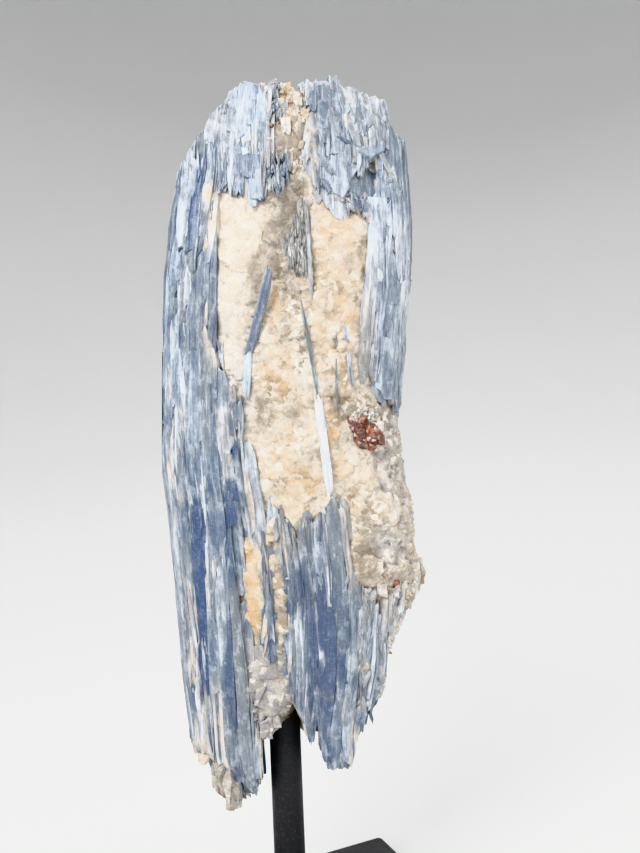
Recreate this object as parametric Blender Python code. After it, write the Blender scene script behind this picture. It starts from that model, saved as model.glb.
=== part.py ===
"""Kyanite blade cluster on a rod stand: a bundle of grown-together kyanite blades in a quartz
matrix, drilled from below and held upright by a steel rod on a flat steel base plate.

Metres, +Z up. The origin is on the rod's axis at the underside of the base plate, and the
cluster's best face looks along -Y."""

import math
import random

import bpy
import bmesh
from mathutils import Euler, Vector

MM = 0.001

# ---- stand -------------------------------------------------------------------------------
BASE_LENGTH = 90 * MM
BASE_WIDTH = 70 * MM
BASE_THICKNESS = 6 * MM
BASE_TURN = math.radians(24.6)  # the plate stands turned under the cluster
BASE_CORNER = 1.5 * MM
BASE_EDGE = 0.6 * MM
SOCKET_DEPTH = 4 * MM
ROD_DIAMETER = 8 * MM
ROD_SIDES = 40
ROD_EDGE = 0.4 * MM
ROD_TOP = 94 * MM
GAP = 0.3 * MM
SHARP_ANGLE = math.radians(35)

# ---- cluster: outline of the best face, in mm across and up ------------------------------
TOP_EDGE = [
    (-21.6, 205.4), (-19.3, 210.1), (-16.0, 215.7), (-14.3, 217.1), (-12.4, 222.0),
    (-9.2, 223.8), (-7.2, 226.1), (-4.2, 229.3), (-2.8, 229.6), (-0.9, 228.4),
    (4.3, 228.0), (7.2, 227.4), (12.9, 228.8), (17.8, 229.6), (20.6, 229.0),
    (22.2, 226.6), (25.7, 224.7), (29.9, 223.2), (32.1, 222.3), (33.1, 218.5),
    (33.6, 213.7), (35.3, 213.2), (36.4, 211.2), (37.0, 204.0),
]
RIGHT_EDGE = [
    (37.3, 192.1), (37.5, 184.9), (36.7, 176.4), (35.8, 168.7), (34.2, 156.8),
    (32.8, 147.3), (33.0, 139.2), (33.7, 132.0), (34.7, 123.5), (35.9, 116.7),
    (37.2, 105.6), (37.6, 98.9), (34.8, 94.3), (31.8, 90.0), (29.6, 85.0),
    (27.0, 78.9), (26.5, 72.7), (25.2, 69.4), (22.0, 65.5), (20.5, 60.5),
    (18.1, 56.5), (17.5, 50.7),
]
LOWER_EDGE = [
    (16.0, 49.9), (12.3, 49.7), (10.6, 50.2), (9.0, 54.3), (8.1, 64.7), (7.3, 65.1),
    (7.4, 56.9), (6.8, 56.3), (4.5, 62.8), (2.1, 68.2), (1.1, 64.9), (-1.2, 64.2),
    (-3.6, 59.6), (-6.2, 59.2), (-5.9, 48.4), (-7.8, 43.6), (-11.3, 43.2), (-13.0, 41.0),
    (-16.8, 44.3), (-18.3, 47.6), (-20.1, 53.9), (-22.5, 56.0), (-24.2, 59.0),
]
LEFT_EDGE = [
    (-24.7, 68.9), (-25.4, 85.4), (-26.1, 100.0), (-26.9, 111.3), (-27.9, 123.7),
    (-28.2, 132.0), (-27.8, 142.3), (-27.4, 154.7), (-26.6, 170.0), (-25.7, 179.4),
    (-24.0, 191.7), (-22.4, 200.0),
]
OUTLINE = TOP_EDGE + RIGHT_EDGE + LOWER_EDGE + LEFT_EDGE

# The quartz that shows between the blades of the best face, in mm across and up.
QUARTZ_WINDOW = [
    (-9.5, 196.0), (-2.5, 197.5), (5.0, 199.0), (2.5, 211.0), (2.5, 224.0), (8.5, 227.0),
    (11.5, 216.0), (12.5, 195.0), (19.0, 189.0), (26.0, 189.5), (28.0, 186.0), (26.5, 170.0),
    (26.0, 148.0), (33.0, 144.0), (33.5, 130.0), (36.5, 104.0), (33.0, 95.0), (24.0, 96.0),
    (20.0, 100.0), (19.0, 116.0), (12.0, 114.0), (8.5, 108.0), (5.0, 114.0), (-1.0, 113.0),
    (-4.5, 119.0), (-6.5, 135.0), (-7.0, 158.0), (-11.0, 172.0),
]

# Left and right ends of the blades' flow at a height, in mm: (height, left, right).
FLOW = [
    (36, -19.0, 25.0), (60, -23.6, 30.5), (85, -25.2, 35.5), (100, -26.0, 36.9),
    (115, -26.9, 35.6), (132, -28.0, 33.6), (147, -27.6, 33.0), (160, -27.2, 34.4),
    (176, -26.0, 36.6), (190, -24.2, 37.2), (205, -21.6, 36.6), (232, -17.5, 33.5),
]
# Half the cluster's thickness, and its middle's distance behind the rod: (height, half, middle), mm.
DEPTH = [
    (36, 5.0, -1.0), (60, 9.5, -0.5), (85, 14.0, 0.5), (110, 16.5, 0.5),
    (140, 17.0, 0.0), (175, 16.5, 0.5), (205, 13.5, 1.0), (232, 9.0, 1.5),
]
SECTION_POWER = 2.6  # 2 is an ellipse, more is boxier

# ---- cluster: core and blades ------------------------------------------------------------
CORE_SIDES = 30
CORE_FOOT = 66.0
CORE_TOP = 213.0
CORE_STEP = 7.35
CORE_CAP = [(219.0, 0.62), (225.0, 0.34)]  # the core's domed top: (height, share)
CORE_SHARE = 0.88  # of the way out to the flow's surface, under the blades
WINDOW_SHARE = 0.965  # and where the quartz shows
CORE_LUMP = 0.03
CORE_LEAST_SHARE = 0.3
LOBE_SIDES = 12
BORE_FOOT = 44 * MM
BORE_SIDES = 32
FLAT_ANGLE = math.radians(1.0)
SEED = 29

# A blade's section is a parallelogram, and its two ends are thinner and cut on a slant.
BLADE_STATIONS = 3
SECTION_LEAN = 0.28
END_THICKNESS = 0.7
MAIN_TIP = 0.6
MAIN_TURN = 0.15
MAIN_SLANTS = (-0.3, 0.4)

# The blades that wrap the cluster. Ranges are in mm, and tips and slants are shares of the width.
BLADE_ROWS = 34
SCAN_HEIGHTS = (38, 233)
SCAN_SHARE = 0.96
SHORTEST_BLADE = 14
LONGEST_BLADE = 105
BREAK_SHARES = (0.4, 0.8)
BLADE_OVERLAP = 6
ROW_SPREAD = 0.25
RING_WIDTHS = (4.6, 8.2)
RING_THICKNESSES = (2.4, 3.8)
RING_PROUD = (-0.6, 0.9)
RING_LEAN = 0.02
RING_TWIST = 0.3
RING_TIPS = (0.45, 0.8)
RING_SLANT = 0.5

# The broken tips that fill the middle of the ragged top.
INNER_TIPS = 22
TIP_FOOT = 204
TIP_DROPS = (0.5, 7.0)
TIP_SIZES = (4.5, 7.5)
TIP_SPREAD = (0.12, 0.66)
GOLDEN_SHARE = 0.382  # of a turn between one tip and the next

# The garnet crystal in the quartz of the best face: across, up and its radius, in mm.
GARNET = (23.0, 136.6, 3.4)
GARNET_PROUD = 1.2

# The quartz of the two feet: (height, across, half width, behind, half depth), in mm.
LEFT_FOOT = [
    (44.5, -14.0, 5.0, -1.0, 4.0), (56.0, -14.5, 7.5, -0.5, 7.5),
    (70.0, -14.5, 9.0, 0.0, 10.5), (84.0, -13.0, 10.0, 0.5, 12.0),
]
RIGHT_FOOT = [
    (52.0, 13.0, 3.6, -1.5, 3.0), (60.0, 13.5, 5.2, -1.0, 6.5),
    (72.0, 16.0, 8.5, 0.0, 10.0), (86.0, 17.0, 10.5, 0.5, 12.5),
]

# Main blades of the best face, in mm: (top across, top up, foot across, foot up, width, thickness,
# proud of the flow's surface).
MAIN_BLADES = [
    (-20.2, 205.0, -24.0, 152.0, 5.0, 3.0, 1.0),
    (-13.0, 196.0, -15.5, 142.0, 3.6, 2.6, 0.7),
    (-25.2, 180.0, -25.6, 118.0, 4.4, 3.0, 1.0),
    (-20.6, 151.0, -19.0, 112.0, 5.2, 2.6, 1.2),
    (-19.6, 120.0, -15.0, 72.0, 4.2, 2.6, 1.6),
    (-12.0, 108.0, -9.0, 46.0, 4.0, 2.6, 1.2),
    (-2.4, 110.0, -1.4, 78.0, 2.6, 2.2, 0.8),
    (3.0, 182.0, -3.8, 150.0, 2.4, 2.2, 0.6),
    (10.5, 172.0, 13.6, 146.0, 1.8, 2.0, 0.4),
    (13.6, 148.0, 16.2, 120.0, 2.6, 2.6, 0.9),
    (16.2, 119.4, 16.4, 98.0, 2.6, 2.2, 0.6),
    (28.4, 178.0, 26.2, 158.0, 2.4, 2.0, 0.6),
    (3.8, 104.0, 5.6, 70.0, 3.4, 2.4, 1.0),
    (8.2, 96.0, 8.6, 66.0, 3.4, 2.4, 1.2),
    (2.2, 82.0, 7.0, 56.6, 3.2, 1.8, 0.4),
    (11.2, 84.0, 11.6, 50.4, 5.4, 2.4, 0.8),
    (16.4, 76.0, 15.8, 50.2, 3.0, 2.2, 0.8),
    (14.8, 226.0, 16.6, 196.0, 5.0, 2.8, 1.2),
    (-6.0, 226.0, -6.6, 198.0, 5.2, 2.8, 1.0),
    (30.0, 221.0, 31.0, 190.0, 4.6, 2.8, 0.8),
]


def clear_scene():
    """Starts from an empty scene."""
    for obj in list(bpy.data.objects):
        bpy.data.objects.remove(obj)


def new_material(name, colour, roughness, metallic=0.0):
    material = bpy.data.materials.new(name)
    material.use_nodes = True
    shader = material.node_tree.nodes["Principled BSDF"]
    shader.inputs["Base Color"].default_value = (*colour, 1.0)
    shader.inputs["Roughness"].default_value = roughness
    shader.inputs["Metallic"].default_value = metallic
    return material


def new_object(name, bm, material=None):
    """Turns a bmesh into a named object of the scene."""
    mesh = bpy.data.meshes.new(name)
    bmesh.ops.recalc_face_normals(bm, faces=bm.faces[:])
    bm.to_mesh(mesh)
    bm.free()
    obj = bpy.data.objects.new(name, mesh)
    bpy.context.scene.collection.objects.link(obj)
    if material:
        mesh.materials.append(material)
    return obj


def as_cutter(obj):
    """Marks an object as a helper that is not a piece."""
    obj.hide_render = True
    obj.display_type = "WIRE"
    return obj


def add_boolean(obj, operand, operation):
    """Joins or cuts obj with an object or with all of a collection's objects."""
    modifier = obj.modifiers.new(operation.title(), "BOOLEAN")
    modifier.operation = operation
    modifier.solver = "EXACT"
    if isinstance(operand, bpy.types.Collection):
        modifier.operand_type = "COLLECTION"
        modifier.collection = operand
    else:
        modifier.object = operand
    modifier.use_self = operation == "UNION"
    return modifier


def read_curve(points, at):
    """The values of a table of rows (height, value, ...) at a height, eased between its rows."""
    if at <= points[0][0]:
        return points[0][1:]
    for low, high in zip(points, points[1:]):
        if at <= high[0]:
            share = (at - low[0]) / (high[0] - low[0])
            share = share * share * (3 - 2 * share)
            return tuple(a + (b - a) * share for a, b in zip(low[1:], high[1:]))
    return points[-1][1:]


def inside(polygon, x, z):
    """True if the point lies inside the polygon, both in mm."""
    found = False
    for (x1, z1), (x2, z2) in zip(polygon, polygon[1:] + polygon[:1]):
        if (z1 > z) != (z2 > z) and x < x1 + (z - z1) * (x2 - x1) / (z2 - z1):
            found = not found
    return found


def section_point(turn, height, share=1.0):
    """Point of the flow's section at a height. turn runs round the section from +X, in radians."""
    left, right = read_curve(FLOW, height)
    half, middle = read_curve(DEPTH, height)
    c, s = math.cos(turn), math.sin(turn)
    radius = (abs(c) ** SECTION_POWER + abs(s) ** SECTION_POWER) ** (-1 / SECTION_POWER)
    across = (left + right) / 2 + (right - left) / 2 * c * radius * share
    return Vector((across, middle + half * s * radius * share, height))


def face_depth(x, height):
    """How far in front of the rod's axis (along -Y) the flow's surface is, at x on the best face."""
    left, right = read_curve(FLOW, height)
    half, middle = read_curve(DEPTH, height)
    share = min(0.98, abs(2 * (x - left) / (right - left) - 1))
    return middle - half * (1 - share**SECTION_POWER) ** (1 / SECTION_POWER)


def loft(sections):
    """A closed body through rings of points in mm, each ring with as many points as the first."""
    bm = bmesh.new()
    sides = len(sections[0])
    ring = bmesh.ops.create_circle(bm, cap_ends=True, segments=sides, radius=1.0)["verts"]
    for vertex, point in zip(ring, sections[0]):
        vertex.co = point * MM
    end = bm.faces[:]
    for step, section in enumerate(sections[1:]):
        made = bmesh.ops.extrude_face_region(bm, geom=end)["geom"]
        if step:
            bmesh.ops.delete(bm, geom=end, context="FACES_ONLY")
        at_place = {v.co.to_tuple(8): v for v in made if isinstance(v, bmesh.types.BMVert)}
        ring = [at_place[v.co.to_tuple(8)] for v in ring]
        for vertex, point in zip(ring, section):
            vertex.co = point * MM
        end = [f for f in made if isinstance(f, bmesh.types.BMFace)]
    bmesh.ops.triangulate(bm, faces=bm.faces[:])
    return bm


def blade(name, path, facing, width, thickness, tip, slant):
    """One bladed crystal along a path of points in mm.

    facing is the direction that its broad face looks in. Its foot and its tip are cut on a
    slant inside the path's ends, and narrow to the share tip of its width."""
    sections = []
    last = len(path) - 1
    for i, point in enumerate(path):
        ahead = (path[min(i + 1, last)] - path[max(i - 1, 0)]).normalized()
        across = ahead.cross(facing).normalized()
        out = across.cross(ahead).normalized()
        at_end = i in (0, last)
        half = width / 2 * (tip if at_end else 1.0)
        deep = thickness / 2 * (END_THICKNESS if at_end else 1.0)
        lean = deep * SECTION_LEAN
        rise = ahead * (slant * width if at_end else 0.0)
        inwards = ((i == 0) - (i == last)) * ahead * abs(slant) * width
        ring = []
        for a, b in ((-1, -1), (1, -1), (1, 1), (-1, 1)):
            corner = across * (half * a + lean * b) + out * (deep * b) + rise * a
            ring.append(point + inwards + corner)
        sections.append(ring)
    return new_object(name, loft(sections))


def spans_of(turn, windowed):
    """The heights, in mm, between which the flow at a turn stays in the outline, off the quartz."""
    spans, start = [], None
    for height in range(*SCAN_HEIGHTS):
        point = section_point(turn, height, SCAN_SHARE)
        solid = inside(OUTLINE, point.x, height)
        if windowed and inside(QUARTZ_WINDOW, point.x, height):
            solid = False
        if solid and start is None:
            start = height
        if not solid and start is not None:
            spans.append((start, height))
            start = None
    return [span for span in spans if span[1] - span[0] >= SHORTEST_BLADE]


def split_span(span, rng):
    """Breaks a long span into overlapping blades of different lengths."""
    low, high = span
    pieces = []
    while high - low > LONGEST_BLADE:
        cut = low + rng.uniform(*BREAK_SHARES) * LONGEST_BLADE
        pieces.append((low, cut + BLADE_OVERLAP))
        low = cut
    pieces.append((low, high))
    return pieces


def ring_path(turn, low, high, depth, lean):
    """A blade's path along the flow at a turn, depth mm under the flow's surface."""
    path = []
    for i in range(BLADE_STATIONS):
        height = low + (high - low) * i / (BLADE_STATIONS - 1)
        point = section_point(turn + lean * (i - 1), height)
        middle = Vector((sum(read_curve(FLOW, height)) / 2, 0, height))
        path.append(point + (middle - point).normalized() * depth)
    return path


def ring_blades(rng):
    """The blades that wrap the cluster, row by row round its section."""
    blades = []
    for row in range(BLADE_ROWS):
        turn = 2 * math.pi * (row + rng.uniform(-ROW_SPREAD, ROW_SPREAD)) / BLADE_ROWS
        on_best_face = math.sin(turn) < 0
        for span in spans_of(turn, on_best_face):
            for low, high in split_span(span, rng):
                width = rng.uniform(*RING_WIDTHS)
                thickness = rng.uniform(*RING_THICKNESSES)
                depth = thickness / 2 - rng.uniform(*RING_PROUD)
                path = ring_path(turn, low, high, depth, rng.uniform(-RING_LEAN, RING_LEAN))
                facing = Vector((path[1].x, 2 * path[1].y, 0)).normalized()
                facing.rotate(Euler((0, 0, rng.uniform(-RING_TWIST, RING_TWIST))))
                tip = rng.uniform(*RING_TIPS)
                slant = rng.uniform(-RING_SLANT, RING_SLANT)
                name = f"blade_{len(blades):03d}"
                blades.append(blade(name, path, facing, width, thickness, tip, slant))
    return blades


def inner_tips(rng):
    """The broken tips that fill the middle of the ragged top."""
    tips = []
    least, spread = TIP_SPREAD
    for i in range(INNER_TIPS):
        turn = 2 * math.pi * i * GOLDEN_SHARE
        share = least + spread * math.sqrt((i + 0.5) / INNER_TIPS)
        foot = section_point(turn, TIP_FOOT, share)
        top = TIP_FOOT
        while inside(OUTLINE, section_point(turn, top + 1, share).x, top + 1):
            top += 1
        head = section_point(turn, top - rng.uniform(*TIP_DROPS), share)
        path = [foot, (foot + head) / 2, head]
        facing = Vector((rng.uniform(-1, 1), -1, 0))
        width = rng.uniform(*TIP_SIZES)
        name = f"inner_tip_{i:02d}"
        tips.append(blade(name, path, facing, width, width * MAIN_TIP, MAIN_TIP, RING_SLANT))
    return tips


def main_blades():
    """The large blades of the best face."""
    blades = []
    for i, (x1, z1, x0, z0, width, thickness, proud) in enumerate(MAIN_BLADES):
        path = []
        for step in range(BLADE_STATIONS):
            share = step / (BLADE_STATIONS - 1)
            x, z = x0 + (x1 - x0) * share, z0 + (z1 - z0) * share
            path.append(Vector((x, face_depth(x, z) - proud + thickness / 2, z)))
        facing = Vector((-MAIN_TURN if i % 2 else MAIN_TURN, -1, 0))
        name = f"main_blade_{i:02d}"
        blades.append(blade(name, path, facing, width, thickness, MAIN_TIP, MAIN_SLANTS[i % 2]))
    return blades


def garnet():
    """The garnet crystal that sits in the quartz."""
    x, z, radius = GARNET
    bm = bmesh.new()
    bmesh.ops.create_icosphere(bm, subdivisions=1, radius=radius * MM)
    place = Vector((x, face_depth(x, z) * WINDOW_SHARE + radius - GARNET_PROUD, z))
    bmesh.ops.translate(bm, verts=bm.verts[:], vec=place * MM)
    return new_object("garnet", bm)


def core_ring(height, core_share, rng):
    """A lumpy ring of the core, nearer to the flow's surface where the quartz shows."""
    ring = []
    for side in range(CORE_SIDES):
        turn = 2 * math.pi * side / CORE_SIDES
        share = core_share
        if math.sin(turn) < 0 and inside(QUARTZ_WINDOW, section_point(turn, height).x, height):
            share *= WINDOW_SHARE / CORE_SHARE
        share *= 1 + rng.uniform(-CORE_LUMP, CORE_LUMP)
        point = section_point(turn, height, share)
        while not inside(OUTLINE, point.x, height) and share > CORE_LEAST_SHARE:
            share -= CORE_LUMP
            point = section_point(turn, height, share)
        ring.append(point)
    return ring


def core(rng):
    """The quartz mass that the blades grow in, from the fork between the two feet to the top."""
    sections = []
    height = CORE_FOOT
    while height <= CORE_TOP:
        sections.append(core_ring(height, CORE_SHARE, rng))
        height += CORE_STEP
    for height, share in CORE_CAP:
        sections.append(core_ring(height, share, rng))
    return new_object("core", loft(sections))


def foot_lobe(name, rows, rng):
    """The quartz of one of the two feet, lofted through its rows."""
    sections = []
    for height, across, half_width, behind, half_depth in rows:
        ring = []
        for side in range(LOBE_SIDES):
            turn = 2 * math.pi * side / LOBE_SIDES
            lump = 1 + rng.uniform(-CORE_LUMP, CORE_LUMP)
            ring.append(
                Vector((
                    across + half_width * math.cos(turn) * lump,
                    behind + half_depth * math.sin(turn) * lump,
                    height,
                ))
            )
        sections.append(ring)
    return new_object(name, loft(sections))


def cylinder(name, radius, low, high, sides, material=None, edge=0.0):
    """A round bar about the rod's axis, its ends' rims rounded over."""
    bm = bmesh.new()
    bmesh.ops.create_cone(
        bm, cap_ends=True, segments=sides, radius1=radius, radius2=radius, depth=high - low,
    )
    bmesh.ops.translate(bm, verts=bm.verts[:], vec=(0, 0, (low + high) / 2))
    obj = new_object(name, bm, material)
    if edge:
        bevel = obj.modifiers.new("Rim", "BEVEL")
        bevel.width = edge
        bevel.segments = 2
    return obj


def shells_of(bm):
    """The separate closed shells of a mesh, each as a list of faces."""
    left, shells = set(bm.faces), []
    while left:
        reached = [left.pop()]
        for face in reached:
            for edge in face.edges:
                for other in edge.link_faces:
                    if other in left:
                        left.remove(other)
                        reached.append(other)
        shells.append(reached)
    return shells


def settle(obj):
    """Applies obj's modifiers, fills the pockets sealed between blades, and drops loose crumbs."""
    graph = bpy.context.evaluated_depsgraph_get()
    bm = bmesh.new()
    bm.from_mesh(obj.evaluated_get(graph).to_mesh())
    shells = sorted(shells_of(bm), key=len)
    bmesh.ops.delete(bm, geom=[f for shell in shells[:-1] for f in shell], context="FACES")
    bmesh.ops.dissolve_limit(bm, angle_limit=FLAT_ANGLE, verts=bm.verts[:], edges=bm.edges[:])
    bmesh.ops.triangulate(bm, faces=bm.faces[:])
    obj.modifiers.clear()
    bm.to_mesh(obj.data)
    bm.free()


def build_cluster(material):
    """The specimen: quartz, blades and the hole drilled for the rod, as one solid."""
    rng = random.Random(SEED)
    cluster = core(rng)
    cluster.name = "kyanite_cluster"
    cluster.data.materials.append(material)
    grown = bpy.data.collections.new("grown_onto_the_core")
    bpy.context.scene.collection.children.link(grown)
    grown.hide_render = True
    joined = [foot_lobe("left_foot", LEFT_FOOT, rng), foot_lobe("right_foot", RIGHT_FOOT, rng)]
    joined += main_blades()
    joined += inner_tips(rng)
    joined += ring_blades(rng)
    joined.append(garnet())
    for obj in joined:
        bpy.context.scene.collection.objects.unlink(obj)
        grown.objects.link(as_cutter(obj))
    add_boolean(cluster, grown, "UNION")
    settle(cluster)
    bore_radius = ROD_DIAMETER / 2 + GAP
    bore = as_cutter(cylinder("rod_bore", bore_radius, BORE_FOOT, ROD_TOP + GAP, BORE_SIDES))
    add_boolean(cluster, bore, "DIFFERENCE")
    settle(cluster)
    return cluster


def build_stand(material):
    """The rod and the flat plate that it stands in."""
    bm = bmesh.new()
    bmesh.ops.create_cube(bm, size=1.0)
    bmesh.ops.scale(bm, verts=bm.verts[:], vec=(BASE_LENGTH, BASE_WIDTH, BASE_THICKNESS))
    bmesh.ops.translate(bm, verts=bm.verts[:], vec=(0, 0, BASE_THICKNESS / 2))
    uprights = [e for e in bm.edges if abs(e.verts[0].co.z - e.verts[1].co.z) > BASE_THICKNESS / 2]
    bmesh.ops.bevel(
        bm, geom=uprights, offset=BASE_CORNER, segments=4, profile=0.5, affect="EDGES", material=-1,
    )
    plate = new_object("stand_base", bm, material)
    plate.rotation_euler.z = BASE_TURN
    bevel = plate.modifiers.new("Edges", "BEVEL")
    bevel.width = BASE_EDGE
    bevel.segments = 2
    socket_floor = BASE_THICKNESS - SOCKET_DEPTH
    socket_radius = ROD_DIAMETER / 2 + GAP
    socket = cylinder("rod_socket", socket_radius, socket_floor, BASE_THICKNESS * 2, ROD_SIDES)
    add_boolean(plate, as_cutter(socket), "DIFFERENCE")
    rod_foot = socket_floor + GAP
    rod = cylinder("stand_rod", ROD_DIAMETER / 2, rod_foot, ROD_TOP, ROD_SIDES, material, ROD_EDGE)
    for obj in (plate, rod):
        obj.data.shade_smooth()
        obj.data.set_sharp_from_angle(angle=SHARP_ANGLE)
    return plate, rod


def main():
    clear_scene()
    crystal = new_material("kyanite_and_quartz", (0.55, 0.63, 0.74), 0.4)
    steel = new_material("blackened_steel", (0.03, 0.03, 0.032), 0.55)
    build_cluster(crystal)
    build_stand(steel)


main()
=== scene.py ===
"""Kyanite blade cluster on a rod stand: the finished looks of the specimen and its stand.

Sizes in the tables are in millimetres. The specimen's best face looks along -Y. Places on that
face are given as (across, up), as they are seen by the camera in the plane of the rod."""

import math

import bmesh
import bpy
import numpy as np
from bpy.props import FloatProperty, FloatVectorProperty, IntProperty, PointerProperty
from mathutils import Matrix, Vector, kdtree


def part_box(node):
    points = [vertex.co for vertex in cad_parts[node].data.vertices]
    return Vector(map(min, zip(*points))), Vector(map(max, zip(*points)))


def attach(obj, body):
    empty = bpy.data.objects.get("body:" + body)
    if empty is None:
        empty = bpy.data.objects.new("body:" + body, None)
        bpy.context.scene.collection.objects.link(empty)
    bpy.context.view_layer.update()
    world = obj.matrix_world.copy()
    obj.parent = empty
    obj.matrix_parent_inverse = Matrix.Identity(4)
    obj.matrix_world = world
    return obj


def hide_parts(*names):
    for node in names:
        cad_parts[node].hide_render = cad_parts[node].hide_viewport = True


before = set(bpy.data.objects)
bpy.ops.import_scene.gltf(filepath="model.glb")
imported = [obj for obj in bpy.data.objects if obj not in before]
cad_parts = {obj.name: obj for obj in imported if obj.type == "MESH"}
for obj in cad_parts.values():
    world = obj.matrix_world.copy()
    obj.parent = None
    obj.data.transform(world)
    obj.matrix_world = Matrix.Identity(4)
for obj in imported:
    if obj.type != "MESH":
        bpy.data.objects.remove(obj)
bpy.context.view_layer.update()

MM = 0.001

bl_info = {
    "name": "Kyanite Blade Cluster",
    "version": (1, 0, 0),
    "blender": (4, 5, 0),
    "location": "View3D > Sidebar > Kyanite",
    "description": "Builds a kyanite blade cluster in quartz on a rod stand",
    "category": "Add Mesh",
}

# ---- camera ------------------------------------------------------------------------------
CAMERA_PLACE = (12.2, -200.5, 139.0)
CAMERA_LENS = 32.8
CAMERA_ROLL = math.radians(2.3)

# ---- the specimen's form, as its solid has it --------------------------------------------
OUTLINE = [
    (-21.6, 205.4), (-19.3, 210.1), (-16, 215.7), (-14.3, 217.1), (-12.4, 222), (-9.2, 223.8),
    (-7.2, 226.1), (-4.2, 229.3), (-2.8, 229.6), (-0.9, 228.4), (4.3, 228), (7.2, 227.4), (12.9, 228.8),
    (17.8, 229.6), (20.6, 229), (22.2, 226.6), (25.7, 224.7), (29.9, 223.2), (32.1, 222.3), (33.1, 218.5),
    (33.6, 213.7), (35.3, 213.2), (36.4, 211.2), (37, 204), (37.3, 192.1), (37.5, 184.9), (36.7, 176.4),
    (35.8, 168.7), (34.2, 156.8), (32.8, 147.3), (33, 139.2), (33.7, 132), (34.7, 123.5), (35.9, 116.7),
    (37.2, 105.6), (37.6, 98.9), (34.8, 94.3), (31.8, 90), (29.6, 85), (27, 78.9), (26.5, 72.7),
    (25.2, 69.4), (22.2, 66), (23.1, 61.4), (22.5, 61.3), (21.3, 64.4), (20.5, 60.5), (18.1, 56.5),
    (17.5, 50.7), (16, 49.9), (12.3, 49.7), (10.6, 50.2), (9, 54.3), (8.1, 64.7), (7.3, 65.1),
    (7.4, 56.9), (6.8, 56.3), (4.5, 62.8), (2.1, 68.2), (1.1, 64.9), (-1.2, 64.2), (-3.6, 59.6),
    (-6.2, 59.2), (-5.9, 48.4), (-7.8, 43.6), (-11.3, 43.2), (-13, 41), (-16.8, 44.3), (-18.3, 47.6),
    (-20.1, 53.9), (-22.5, 56), (-24.2, 59), (-24.7, 68.9), (-25.4, 85.4), (-26.1, 100), (-26.9, 111.3),
    (-27.9, 123.7), (-28.2, 132), (-27.8, 142.3), (-27.4, 154.7), (-26.6, 170), (-25.7, 179.4),
    (-24, 191.7), (-22.4, 200),
]
# Left and right ends of the blades' flow at a height: (height, left, right).
FLOW = [
    (36, -19, 25), (60, -23.6, 30.5), (85, -25.2, 35.5), (100, -26, 36.9), (115, -26.7, 35.6),
    (132, -27.6, 33.6), (147, -27.1, 32.7), (160, -26.6, 34.2), (176, -25.5, 36.4), (190, -23.8, 37),
    (205, -21.3, 36.6), (232, -17.5, 33.5),
]
# Half the specimen's thickness, and its middle's distance behind the rod: (height, half, middle).
DEPTH = [
    (36, 5, -1), (60, 9.5, -0.5), (85, 14, 0.5), (110, 16.5, 0.5), (140, 17, 0), (175, 16.5, 0.5),
    (205, 13.5, 1), (232, 9, 1.5),
]
SECTION_POWER = 2.6  # 2 is an ellipse, more is boxier

# ---- quartz of the best face -------------------------------------------------------------
# Where the quartz shows between the blades.
QUARTZ_WINDOW = [
    (-12.5, 200), (-8, 197.5), (-5.5, 198.5), (-0.5, 198), (1.5, 206), (2.2, 214), (3.2, 224), (5.5, 228),
    (10, 227), (13, 220.5), (12.6, 214), (11.4, 208), (12, 199), (15, 196), (18, 193), (20.7, 189.4),
    (22.6, 193.5), (26.5, 193), (27, 184), (25.4, 174), (24.8, 150), (28.5, 146), (31.5, 141),
    (34.3, 141), (36.5, 144), (45, 146), (45, 99), (37, 98), (31.5, 96.5), (25.9, 94.5), (21, 97),
    (18.6, 104), (17, 118), (15.8, 121), (13, 119), (10.5, 116.5), (8, 113), (5.6, 117), (3.6, 108),
    (2.4, 116), (1.2, 121), (-0.5, 113), (-2.4, 104), (-4.6, 113), (-6.5, 125), (-7.5, 143), (-10, 150),
    (-13, 160), (-13, 175),
]
# Smaller spots of quartz between the blades.
QUARTZ_SPOTS = [
    [(-20.7, 53.2), (-16.6, 52), (-13.1, 50.3), (-11.2, 45.6), (-13, 40.5), (-17, 41.7), (-20.5, 45.9)],
    [
        (-9.3, 80.9), (-5.1, 82), (-1.4, 84.4), (0.7, 78.7), (2.6, 72.9), (1, 66.8), (-3.9, 59.7),
        (-6.9, 63.5), (-8.6, 71.8),
    ],
    [(-1.6, 110.2), (1.7, 110.1), (2.6, 94.6), (1.7, 78.6), (-0.9, 84.4), (-1.7, 94.8)],
    [(-8.1, 109.2), (-4.2, 109.8), (-3.5, 94.8), (-5, 83.3), (-8.2, 82.1), (-9, 95)],
    [(19.3, 78.4), (22.1, 77.8), (21.2, 67.5), (19.1, 67.1)],
    [
        (38, 99.6), (33, 92.6), (30.5, 87.3), (27, 77.1), (25.1, 67.3), (23.3, 67.9), (25.5, 79.5),
        (28.8, 89.7), (32.2, 96.5),
    ],
]
# The dark hollow near the top right.
HOLLOW = [
    (22.4, 200.7), (24.3, 203.7), (27, 205.2), (30, 203), (30.6, 199.1), (29.2, 196.5), (27, 198.4),
    (23.9, 198.6),
]
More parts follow.
